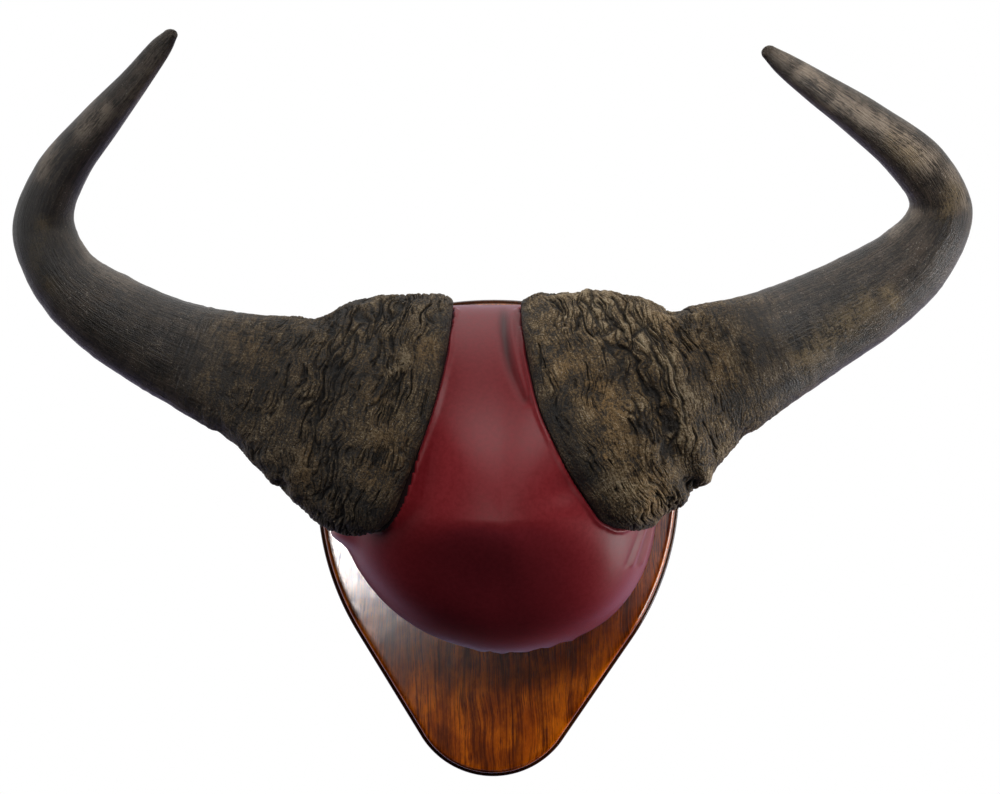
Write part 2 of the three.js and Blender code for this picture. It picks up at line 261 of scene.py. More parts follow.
class Bark:
    """The pattern of plates, cracks and grain on a horn.

    The geometry and the material both draw it, from the same two attributes, so that the
    near-black colour of a crack, painted shade, lies in its groove: 'around' unrolls the horn
    and 'rest' is the place on the smooth horn. 'rough' is 1 where the furrows crowd and 0
    where the horn is smoother.
    """

    def __init__(self, graph: Graph, around: object, rest: object, rough: object) -> None:
        """Draw the pattern's nodes in a tree.

        Args:
            graph: The tree's graph.
            around: The 'around' attribute.
            rest: The 'rest' attribute.
            rough: The 'rough' attribute.
        """
        g = graph
        middle = (0.5, 0.5, 0.5)
        swirl = g.vector("SUBTRACT", g.noise(rest, 17.0, 2.0, 0.5, colour=True), middle)
        wiggle = g.vector("SUBTRACT", g.noise(rest, 95.0, 2.0, 0.6, colour=True), middle)
        bent = g.vector("ADD", around, g.vector("SCALE", swirl, scale=0.040))
        bent = g.vector("ADD", bent, g.vector("SCALE", wiggle, scale=0.0012))
        self.long_x, self.long_y, self.run = g.split(bent)
        self.graph = g
        self.rest = rest
        self.plate = g.cells(self.stretched(0.24), 66.0, Cell.EDGE)
        self.scale = g.cells(self.stretched(0.20), 190.0, Cell.EDGE)
        crowd = g.times(g.minus(rough, 0.5), 0.28)
        where = g.plus(g.noise(rest, 33.0, 3.0, 0.6), crowd)
        self.furrow = g.times(g.remap(self.plate, 0.0, 0.070, 1.0, 0.0),
                              g.remap(where, 0.48, 0.56))
        elsewhere = g.noise(g.vector("ADD", rest, (0.31, 0.17, 0.05)), 27.0, 3.0, 0.6)
        elsewhere = g.plus(elsewhere, crowd)
        self.split = g.times(g.remap(self.scale, 0.0, 0.10, 1.0, 0.0),
                             g.remap(elsewhere, 0.47, 0.57))
        self.grain = g.noise(self.stretched(0.22), 560.0, 2.0, 0.6)
        self.pit = g.noise(rest, 440.0, 2.5, 0.65)
        x, y, run = g.split(around)
        self.ridge = g.noise(g.join(g.times(x, 0.16), g.times(y, 0.16), run), 240.0, 3.0, 0.6)

    def stretched(self, share: float) -> object:
        """Return the unrolled place with the pattern drawn out round the horn."""
        g = self.graph
        return g.join(g.times(self.long_x, share), g.times(self.long_y, share), self.run)


@dataclass(frozen=True)
class HornFinish:
    """Weathered horn: bark-like at the base, fibrous along the beam, smoother at the point."""

    black: Colour = (0.004, 0.003, 0.002)
    dark: Colour = (0.0195, 0.0145, 0.0095)
    brown: Colour = (0.110, 0.067, 0.025)
    grey: Colour = (0.280, 0.214, 0.128)
    beam_dark: Colour = (0.010, 0.008, 0.006)
    beam_light: Colour = (0.088, 0.064, 0.046)
    scuffed: Colour = (0.36, 0.285, 0.215)
    tan: Colour = (0.235, 0.135, 0.046)
    ochre: Colour = (0.33, 0.235, 0.115)
    dust: Colour = (0.42, 0.37, 0.30)

    def make(self) -> Material:
        """Build the material.

        Returns:
            The finished material.
        """
        s = Surface("weathered_horn")
        g = s.graph
        rest = s.attribute("rest", vector=True)
        around = s.attribute("around", vector=True)
        bark = s.attribute("bark")
        bark_on = s.attribute("bark_on")
        worn = s.attribute("worn")
        pattern = Bark(g, around, rest, s.attribute("rough"))
        patches = g.noise(rest, 38.0, 4.0, 0.6)
        patchy = g.minus(patches, 0.5)
        x, y, run = g.split(around)

        def drawn(length: float) -> object:
            """Return the unrolled place with the pattern drawn out along the horn."""
            return g.join(x, y, g.times(run, length))

        fibre = g.noise(drawn(0.10), 430.0, 2.5, 0.65)
        dash = g.noise(drawn(0.5), 420.0, 2.0, 0.65)
        streak = g.noise(drawn(0.05), 110.0, 3.0, 0.6)
        grit = g.noise(drawn(0.7), 1100.0, 2.0, 0.6)
        bark_tone = g.blend((pattern.grain, 0.32), (pattern.pit, 0.38), (grit, 0.30),
                            (patchy, 0.42), (worn, 0.11))
        bark_colour = g.mix(g.remap(bark_tone, 0.42, 0.57), self.dark, self.brown)
        bark_colour = g.mix(g.remap(bark_tone, 0.54, 0.64, 0.0, 0.95), bark_colour, self.grey)
        beam_tone = g.blend((fibre, 0.28), (dash, 0.25), (grit, 0.32), (streak, 0.15),
                            (patchy, 0.22))
        beam_colour = g.mix(g.remap(beam_tone, 0.43, 0.60), self.beam_dark, self.beam_light)
        scuff = g.blend((fibre, 0.35), (dash, 0.25), (patches, 0.40))
        beam_colour = g.mix(g.times(worn, g.remap(scuff, 0.44, 0.56, 0.10, 0.95)),
                            beam_colour, self.scuffed)
        colour = g.mix(bark, beam_colour, bark_colour)
        blotch = g.blend((patches, 0.40), (dash, 0.25), (pattern.pit, 0.35))
        stain = g.times(s.attribute("stain"), g.remap(blotch, 0.43, 0.57, 0.06, 0.90))
        colour = g.mix(stain, colour, g.mix(bark, self.ochre, self.tan))
        speck = g.noise(rest, 700.0, 2.0, 0.5)
        dust = g.times(g.remap(speck, 0.64, 0.72), g.remap(patches, 0.42, 0.60, 0.15, 0.9))
        colour = g.mix(dust, colour, self.dust)
        # Painted shade: the cracks and the low lines of the grain, where the relief sinks, are
        # painted near black.
        gouge = g.math("MAXIMUM", pattern.furrow, g.times(pattern.split, 0.8))
        gouge = g.times(g.math("MAXIMUM", gouge, s.attribute("carved")), bark_on)
        shade = g.times(g.remap(pattern.grain, 0.30, 0.44, 0.65, 0.0), bark_on)
        colour = g.mix(shade, colour, self.black)
        colour = g.mix(g.times(gouge, 0.95), colour, self.black)
        # Painted shade: the valleys between the ridges on the neck are painted dark.
        valley = g.times(g.remap(pattern.ridge, 0.34, 0.50, 0.75, 0.0), s.attribute("neck"))
        colour = g.mix(valley, colour, self.black)
        growth = g.noise(g.join(g.times(x, 0.10), g.times(y, 0.10), run), 80.0, 2.0)
        growth = g.times(g.crack(growth, 0.045), s.attribute("growth"))
        colour = g.mix(g.times(growth, 0.8), colour, self.black)
        # The 'tone' attribute scales the colour: each horn's own brightness, times the painted
        # shade of its shadow marks.
        colour = g.mix(1.0, colour, g.join(*[s.attribute("tone")] * 3), "MULTIPLY")
        bark_height = g.blend((pattern.grain, 0.8), (pattern.pit, 1.2), (gouge, -0.8))
        beam_height = g.blend((fibre, 0.35), (dash, 0.25), (grit, 0.25), (growth, -0.6))
        height = g.blend((bark_height, bark), (beam_height, g.minus(1.0, bark)))
        rough = g.plus(g.remap(beam_tone, 0.4, 0.6, 0.29, 0.42), g.times(bark, 0.32))
        s.set(Base_Color=colour, Roughness=rough, Specular_IOR_Level=0.42,
              Normal=s.bump(height, 1.0, 0.0021))
        return s.material


@dataclass(frozen=True)
class LeatherFinish:
    """Smooth burgundy hide with a soft satin sheen and a very fine grain."""

    skin: Colour = (0.285, 0.0170, 0.0240)
    shade: Colour = (0.232, 0.0110, 0.0160)
    # Near black, painted in as shade: towards the top, along the horns, under them and on the
    # inside.
    edge: Colour = (0.012, 0.003, 0.003)
    painted_crease_shade: Colour = (0.036, 0.0020, 0.0030)

    def make(self) -> Material:
        """Build the material.

        Returns:
            The finished material.
        """
        s = Surface("burgundy_leather")
        g = s.graph
        gap = s.attribute("gap")
        mottled = g.noise(s.place, 240.0, 4.0, 0.6)
        colour = g.mix(g.remap(mottled, 0.3, 0.7), self.shade, self.skin)
        # Painted shade: the hide darkens towards the top.
        height_up = g.split(s.place)[2]
        colour = g.mix(g.remap(height_up, 0.06, 0.17, 0.0, 0.34), colour, self.edge)
        # Painted shade in the sunk fold beside the right horn.
        colour = g.mix(g.times(s.attribute("groove"), 0.94), colour, self.painted_crease_shade)
        # Painted shade: near black in the crevice along the horns, under them and on the hide's
        # inside.
        colour = g.mix(g.times(gap, 0.96), colour, self.edge)
        pores = g.cells(s.place, 1500.0)
        fleck = g.noise(s.place, 420.0, 3.0, 0.6)
        height = g.blend((pores, 0.5), (fleck, 0.6))
        rough = g.remap(mottled, 0.3, 0.7, 0.40, 0.45)
        s.set(Base_Color=colour, Roughness=g.plus(rough, g.times(gap, 0.5)),
              Specular_IOR_Level=0.28, Normal=s.bump(height, 0.20, 0.0004),
              Sheen_Weight=0.45, Sheen_Roughness=0.28, Sheen_Tint=(0.72, 0.62, 1.0))
        return s.material


@dataclass(frozen=True)
class VarnishedWood:
    """Glossy varnish over straight-grained wood with dark streaks and open pores."""

    pale: Colour = (0.92, 0.215, 0.003)
    middle: Colour = (0.55, 0.096, 0.0012)
    dark: Colour = (0.095, 0.014, 0.0008)
    # Near black: the dark moulding, the dark knots and streaks, and painted shadow beside the hide.
    edge: Colour = (0.016, 0.006, 0.002)

    def make(self) -> Material:
        """Build the material.

        Returns:
            The finished material.
        """
        s = Surface("varnished_wood")
        g = s.graph
        moulding = s.attribute("moulding")
        x, y, z = g.split(s.place)

        def drawn(length: float) -> object:
            """Return the place with the grain drawn out up and down."""
            return g.join(across, y, g.times(z, length))

        sway = g.noise(g.join(g.times(x, 0.9), y, g.times(z, 0.55)), 9.0, 2.0)
        ripple = g.noise(g.join(x, y, g.times(z, 0.35)), 40.0, 2.0)
        across = g.plus(x, g.times(g.minus(sway, 0.5), 0.05))
        across = g.plus(across, g.times(g.minus(ripple, 0.5), 0.006))
        band = g.noise(drawn(0.05), 70.0, 3.0, 0.6)
        line = g.noise(drawn(0.024), 430.0, 3.0, 0.65)
        vein = g.times(g.crack(g.noise(drawn(0.020), 150.0, 2.0), 0.026),
                       g.remap(band, 0.38, 0.54))
        pore = g.noise(drawn(0.05), 1300.0, 2.0, 0.55)
        mottle = g.noise(g.join(x, y, g.times(z, 0.5)), 42.0, 5.0, 0.68)
        flame = g.noise(drawn(0.30), 15.0, 3.0, 0.55)
        tone = g.blend((band, 0.22), (line, 0.46), (mottle, 0.32))
        colour = g.mix(g.remap(tone, 0.35, 0.58), self.dark, self.middle)
        golden = g.blend((flame, 0.40), (mottle, 0.60))
        colour = g.mix(g.times(g.remap(golden, 0.40, 0.64), g.remap(tone, 0.40, 0.58)),
                       colour, self.pale)
        colour = g.mix(g.times(vein, 0.75), colour, self.dark)
        colour = g.mix(g.remap(pore, 0.58, 0.70, 0.0, 0.85), colour, self.dark)
        # The figure marks darken the colour: knots and streaks, and painted shadow of the hide
        # along its top and under its hem.
        colour = g.mix(g.times(s.attribute("figure_and_painted_shade"), g.remap(line, 0.3, 0.6, 1.0, 0.6)),
                       colour, self.edge)
        colour = g.mix(g.times(moulding, 0.92), colour, self.edge)
        dimple = g.noise(s.place, 560.0, 2.0, 0.5)
        height = g.minus(g.times(dimple, 0.4), g.remap(pore, 0.58, 0.70))
        s.set(Base_Color=colour, Roughness=0.5, Specular_IOR_Level=0.0,
              Coat_Weight=1.0, Coat_Roughness=0.125, Coat_IOR=1.5,
              Normal=s.bump(height, 0.25, 0.0003))
        film = g.plus(g.times(height, 0.15), g.noise(s.place, 60.0, 2.0))
        s.set(Coat_Normal=s.bump(film, 0.10, 0.0007))
        return s.material


@dataclass(frozen=True)
class PlainWood:
    """Sawn softwood, unfinished."""

    early: Colour = (0.47, 0.30, 0.155)
    late: Colour = (0.31, 0.175, 0.075)
    dust: Colour = (0.22, 0.15, 0.09)

    def make(self) -> Material:
        """Build the material.

        Returns:
            The finished material.
        """
        s = Surface("sawn_softwood")
        g = s.graph
        x, y, z = g.split(s.place)
        sway = g.noise(g.join(x, y, g.times(z, 0.5)), 7.0, 2.0)
        across = g.plus(x, g.times(g.minus(sway, 0.5), 0.04))
        grain = g.join(across, g.times(y, 1.3), g.times(z, 0.03))
        rings = g.noise(grain, 55.0, 2.0, 0.5)
        lines = g.noise(grain, 420.0, 3.0, 0.65)
        fine = g.noise(g.join(across, y, g.times(z, 0.06)), 1500.0, 2.0)
        tone = g.blend((rings, 0.35), (lines, 0.45), (fine, 0.20))
        colour = g.mix(g.remap(tone, 0.38, 0.62), self.early, self.late)
        worn = g.noise(s.place, 14.0, 5.0, 0.7)
        colour = g.mix(g.remap(worn, 0.48, 0.75, 0.0, 0.5), colour, self.dust)
        s.set(Base_Color=colour, Roughness=g.remap(tone, 0.3, 0.7, 0.70, 0.85),
              Normal=s.bump(g.plus(fine, lines), 0.35, 0.0003))
        return s.material


@dataclass(frozen=True)
class ZincFinish:
    """Zinc-plated steel, dulled and lightly scratched."""

    name: str
    bright: Colour = (0.62, 0.62, 0.60)
    dull: Colour = (0.36, 0.36, 0.35)

    def make(self) -> Material:
        """Build the material.

        Returns:
            The finished material.
        """
        s = Surface(self.name)
        g = s.graph
        x, y, z = g.split(s.place)
        spangle = g.cells(s.place, 260.0)
        scratch = g.noise(g.join(g.times(x, 0.08), y, z), 2600.0, 2.0)
        cloud = g.noise(s.place, 120.0, 3.0)
        colour = g.mix(g.remap(g.plus(cloud, spangle), 0.5, 1.2), self.bright, self.dull)
        s.set(Base_Color=colour, Metallic=1.0, Roughness=g.remap(cloud, 0.3, 0.7, 0.28, 0.48),
              Normal=s.bump(scratch, 0.15, 0.0001))
        return s.material


# ---- meshes and curves


def through(points: Sequence[Sequence[float]], steps: Array, closed: bool = False) -> Array:
    """Sample a centripetal Catmull-Rom curve.

    Args:
        points: The points that the curve passes, in order.
        steps: Parameters from 0 to 1, spread evenly over the points.
        closed: Whether the curve returns to its first point.

    Returns:
        One row of coordinates for each parameter.
    """
    knots = np.asarray(points, dtype=float)
    count = len(knots)
    if closed:
        knots = np.vstack([knots[-1:], knots, knots[:2]])
        spans = count
    else:
        knots = np.vstack([2 * knots[0] - knots[1], knots, 2 * knots[-1] - knots[-2]])
        spans = count - 1
    place = np.clip(np.asarray(steps, dtype=float), 0.0, 1.0) * spans
    span = np.minimum(place.astype(int), spans - 1)
    t = (place - span)[:, None]
    p0, p1, p2, p3 = (knots[span + i] for i in range(4))
    d0, d1, d2 = (
        np.maximum(np.linalg.norm(b - a, axis=1, keepdims=True), 1e-9) ** 0.5
        for a, b in ((p0, p1), (p1, p2), (p2, p3))
    )
    m1 = ((p1 - p0) / d0 - (p2 - p0) / (d0 + d1) + (p2 - p1) / d1) * d1
    m2 = ((p2 - p1) / d1 - (p3 - p1) / (d1 + d2) + (p3 - p2) / d2) * d1
    return ((2 * t**3 - 3 * t**2 + 1) * p1 + (t**3 - 2 * t**2 + t) * m1
            + (-2 * t**3 + 3 * t**2) * p2 + (t**3 - t**2) * m2)


def ring_faces(rings: int, sides: int) -> list[tuple[int, ...]]:
    """Join a row of closed rings of equal size with quads.

    Args:
        rings: How many rings there are.
        sides: How many points each has.

    Returns:
        The quads.
    """
    faces = []
    for ring in range(rings - 1):
        near, far = ring * sides, (ring + 1) * sides
        for side in range(sides):
            after = (side + 1) % sides
            faces.append((near + side, near + after, far + after, far + side))
    return faces


def make_object(name: str, points: Array, faces: Sequence[Sequence[int]],
                smooth: bool = True) -> Thing:
    """Make a mesh object in place, its faces turned outwards.

    Args:
        name: The object's name.
        points: Its vertices, one row each.
        faces: Its faces, as rows of vertex numbers.
        smooth: Whether it is shaded smooth.

    Returns:
        The object, linked to the scene.
    """
    mesh = bpy.data.meshes.new(name)
    mesh.from_pydata([tuple(p) for p in points], [], [tuple(f) for f in faces])
    mesh.validate()
    face_outwards(mesh)
    if smooth:
        mesh.shade_smooth()
    made = bpy.data.objects.new(name, mesh)
    bpy.context.scene.collection.objects.link(made)
    return made


def face_outwards(mesh: Mesh) -> None:
    """Turn a closed mesh's faces outwards, and an open one's all one way.

    Args:
        mesh: The mesh, changed in place.
    """
    work = bmesh.new()
    work.from_mesh(mesh)
    bmesh.ops.recalc_face_normals(work, faces=work.faces)
    work.to_mesh(mesh)
    work.free()


def store(mesh: Mesh, name: str, values: Array) -> None:
    """Store a named attribute on the vertices.

    Args:
        mesh: The mesh that gets it.
        name: The attribute's name.
        values: One float or one vector for each vertex.
    """
    values = np.asarray(values, dtype=np.float32)
    kind = "FLOAT" if values.ndim == 1 else "FLOAT_VECTOR"
    layer = mesh.attributes.new(name, kind, "POINT")
    layer.data.foreach_set("value" if values.ndim == 1 else "vector", values.ravel())


def vertices(mesh: Mesh) -> Array:
    """Return the mesh's vertex positions, one row each."""
    flat = np.empty(len(mesh.vertices) * 3)
    mesh.vertices.foreach_get("co", flat)
    return flat.reshape(-1, 3)


def move_vertices(mesh: Mesh, points: Array) -> None:
    """Set the mesh's vertex positions."""
    mesh.vertices.foreach_set("co", np.ascontiguousarray(points, dtype=np.float64).ravel())
    mesh.update()


def vertex_normals(mesh: Mesh) -> Array:
    """Return the mesh's vertex normals, one row each."""
    flat = np.empty(len(mesh.vertices) * 3, dtype=np.float32)
    mesh.vertex_normals.foreach_get("vector", flat)
    return flat.reshape(-1, 3).astype(float)


def skin_normals(points: Array, faces: Sequence[Sequence[int]]) -> Array:
    """Find the outward normals of a domed skin.

    Args:
        points: Its points, the crown first.
        faces: Its faces, all turned one way.

    Returns:
        One unit vector for each point.
    """
    mesh = bpy.data.meshes.new("skin")
    mesh.from_pydata([tuple(p) for p in points], [], list(faces))
    normals = vertex_normals(mesh)
    bpy.data.meshes.remove(mesh)
    return normals if normals[0, 1] < 0 else -normals


def unit(vectors: Array) -> Array:
    """Return the vectors at a length of 1."""
    return vectors / np.maximum(np.linalg.norm(vectors, axis=1, keepdims=True), 1e-9)


def smoothstep(low: float, high: float, value: Array) -> Array:
    """Return 0 below low, 1 above high, and a smooth step between."""
    t = np.clip((value - low) / (high - low), 0.0, 1.0)
    return t * t * (3 - 2 * t)


def bake_modifiers(made: Thing) -> None:
    """Replace an object's mesh with its evaluated one and drop its modifiers.

    Args:
        made: The object, changed in place.
    """
    bpy.context.view_layer.update()
    graph = bpy.context.evaluated_depsgraph_get()
    mesh = bpy.data.meshes.new_from_object(made.evaluated_get(graph), depsgraph=graph)
    made.modifiers.clear()
    made.data = mesh


def dress(made: Thing, material: Material, slot: str,
          *nodes: str) -> Thing:
    """Finish a piece.

    Args:
        made: The piece.
        material: Its material.
        slot: The name that its finish goes by in the frame; not used.
        *nodes: The construction's nodes that it stands for.

    Returns:
        The same piece.
    """
    made.data.materials.clear()
    made.data.materials.append(material)
    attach(made, BODY)
    if nodes:
        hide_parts(*nodes)
    log.info("%s: %d vertices, for %s", made.name, len(made.data.vertices), ", ".join(nodes))
    return made


class GeometryTree:
    """A Geometry Nodes tree with named inputs, run once on one object."""

    def __init__(self, name: str, sizes: dict[str, float]) -> None:
        """Make a tree with inputs for its geometry, its finish and each size.

        Args:
            name: The tree's name.
            sizes: The value of each float input, by name.
        """
        self.tree = bpy.data.node_groups.new(name, "GeometryNodeTree")
        self.tree.is_modifier = True
        face = self.tree.interface
        face.new_socket("Geometry", in_out="INPUT", socket_type="NodeSocketGeometry")
        face.new_socket("Finish", in_out="INPUT", socket_type="NodeSocketMaterial")
        for size in sizes:
            face.new_socket(size, in_out="INPUT", socket_type="NodeSocketFloat")
        face.new_socket("Geometry", in_out="OUTPUT", socket_type="NodeSocketGeometry")
        self.sizes = sizes
        self.graph = Graph(self.tree)
        self.input = self.graph.node("NodeGroupInput")

    def __getitem__(self, name: str) -> bpy.types.NodeSocket:
        """Return one of the tree's inputs."""
        return self.input.outputs[name]

    def close(self, geometry: bpy.types.NodeSocket) -> None:
        """End the tree: realize the instances, set the material and wire the output.

        Args:
            geometry: What the tree has built.
        """
        real = self.graph.node("GeometryNodeRealizeInstances", {0: geometry}).outputs[0]
        dressed = self.graph.node("GeometryNodeSetMaterial",
                                  {"Geometry": real, "Material": self["Finish"]}).outputs[0]
        self.graph.node("NodeGroupOutput", {0: dressed})

    def run(self, made: Thing, finish: Material) -> Thing:
        """Evaluate the tree on an object and keep the result as its plain mesh.

        Args:
            made: The object, changed in place.
            finish: The material that the tree sets.

        Returns:
            The same object.
        """
        modifier = made.modifiers.new("shape", "NODES")
        modifier.node_group = self.tree
        for item in self.tree.interface.items_tree:
            if item.in_out != "INPUT" or item.socket_type == "NodeSocketGeometry":
                continue
            modifier[item.identifier] = finish if item.name == "Finish" else self.sizes[item.name]
        bake_modifiers(made)
        return made


# ---- forehead dome


@dataclass(frozen=True)
class Dome:
    """The rounded forehead shape, measured over its leather.

    Its outline is in millimetres. A higher 'bulge' makes it fuller, 'squareness' makes it
    fuller at its sides, and 'slump' sets its lower half back.
    """

    crown: Pair = (5 * MM, 25 * MM)
    crown_depth: float = 188 * MM
    foot_depth: float = 22 * MM
    outline: tuple[Pair, ...] = (
        (0, 240), (70, 236), (115, 212), (140, 165), (152, 100), (164, 40), (159, -12),
        (142, -52), (112, -86), (66, -109), (5, -119), (-50, -108), (-92, -87), (-128, -54),
        (-154, -10), (-160, 40), (-150, 100), (-138, 165), (-113, 212), (-68, 236),
    )
    bulge: float = 1.72
    squareness: float = 0.36
    slump: float = 0.115

    def radius(self, angle: Array) -> Array:
        """Find the outline's distance from the crown.

        Args:
            angle: Directions from the crown.

        Returns:
            The distance in each direction.
        """
        ring = through(self.outline, np.linspace(0, 1, 721)[:-1], closed=True) * MM
        ring -= np.asarray(self.crown)
        bearing = np.arctan2(ring[:, 1], ring[:, 0])
        order = np.argsort(bearing)
        return np.interp(angle, bearing[order], np.hypot(*ring.T)[order], period=FULL_TURN)

    def rise(self, angle: Array, share: Array) -> Array:
        """Return how far out the dome is, from 1 at its crown to 0 at its foot.

        Args:
            angle: Direction from the crown.
            share: Share of the way from the crown to the foot.

        Returns:
            The share of the dome's full rise.
        """
        power = self.bulge + self.squareness * np.sqrt(np.cos(angle) ** 2 + 0.02)
        share = np.clip(share, 0, 1)
        below = smoothstep(-0.05, 0.95, -np.sin(angle))
        slump = self.slump * below * 16 * share**2 * (1 - share) ** 2
        return np.clip(1 - share**power, 0, 1) ** (1 / power) - slump

    def depth(self, x: Array, z: Array) -> Array:
        """Find how far out the leather is.

        Args:
            x: Places on the wall's plane.
            z: Their heights.

        Returns:
            The depth at each place, 0 off the dome.
        """
        dx, dz = x - self.crown[0], z - self.crown[1]
        angle = np.arctan2(dz, dx)
        share = np.hypot(dx, dz) / self.radius(angle)
        out = self.foot_depth + (self.crown_depth - self.foot_depth) * self.rise(angle, share)
        return np.where(share < 1, out, 0.0)

    def skin(self, rings: int, angle: Array) -> tuple[Array, list[tuple[int, ...]], Array]:
        """Cover the dome with rings of points.

        Args:
            rings: How many rings lie between the crown and the foot.
            angle: The directions of each ring's points.

        Returns:
            The points, crown first, the faces, and each point's share of the way to the foot.
        """
        sides = len(angle)
        sweep = np.linspace(0, math.pi / 2, rings + 1)[1:]
        radius = self.radius(angle)
        share = (np.sin(sweep) ** 1.05)[:, None] * np.ones(sides)
        rise = self.rise(angle[None, :] * np.ones_like(share), share)
        x = self.crown[0] + np.cos(angle) * radius * share
        z = self.crown[1] + np.sin(angle) * radius * share
        depth = self.foot_depth + (self.crown_depth - self.foot_depth) * rise
        points = np.stack([x, -depth, z], axis=-1).reshape(-1, 3)
        top = np.array([[self.crown[0], -self.crown_depth, self.crown[1]]])
        faces = [(0, 1 + (side + 1) % sides, 1 + side) for side in range(sides)]
        faces += [tuple(1 + i for i in face) for face in ring_faces(rings, sides)]
        down = np.concatenate([[0.0], np.repeat(sweep / (math.pi / 2), sides)])
        return np.vstack([top, points]), faces, down


# ---- horns


@dataclass(frozen=True)
class Station:
    """One cross-section of a horn, in millimetres.

    'up' and 'low' are its two ends on the wall's plane, 'depth' its middle's distance from the
    wall and 'lean' how much nearer the wall its upper end is. 'thick' is half its thickness,
    and 'bow' how far its front curves towards the root.
    """

    up: Pair
    low: Pair
    depth: float
    lean: float
    thick: float
    bow: float = 0.0


@dataclass(frozen=True)
class Mark:
    """A lump, groove, crack or stain, in millimetres.

    It follows a line of (x, z) points; one point makes a round mark. 'height' is how far it
    stands out, or how strong a stain, crack or patch of painted shade is.
    """

    line: Sequence[Pair]
    reach: float
    height: float

    def weight(self, x: Array, z: Array) -> Array:
        """Find how much of the mark each point gets.

        Args:
            x: The points' places across, in metres.
            z: Their heights, in metres.

        Returns:
            The mark's falloff, from 0 to 1.
        """
        place = np.stack([x, z], axis=1) / MM
        line = np.asarray(self.line, dtype=float)
        if len(line) == 1:
            gap = np.linalg.norm(place - line[0], axis=1)
        else:
            gap = np.full(len(place), np.inf)
            for a, b in zip(line[:-1], line[1:]):
                run = b - a
                t = np.clip((place - a) @ run / (run @ run), 0, 1)
                gap = np.minimum(gap, np.linalg.norm(place - a - t[:, None] * run, axis=1))
        return np.exp(-((gap / self.reach) ** 2))


def mark_rows(*rows: tuple) -> tuple[Mark, ...]:
    """Return a mark for each row of reach, height and points."""
    return tuple(Mark(line, reach, height) for reach, height, *line in rows)


def strongest(marks: Sequence[Mark], x: Array, z: Array) -> Array:
    """Lay marks over each other.

    Args:
        marks: The marks.
        x: The points' places across, in metres.
        z: Their heights, in metres.

    Returns:
        The strongest of the marks at each point, from 0 to 1.
    """
    weights = [mark.height * mark.weight(x, z) for mark in marks]
    return np.clip(functools.reduce(np.maximum, weights, np.zeros(len(x))), 0, 1)


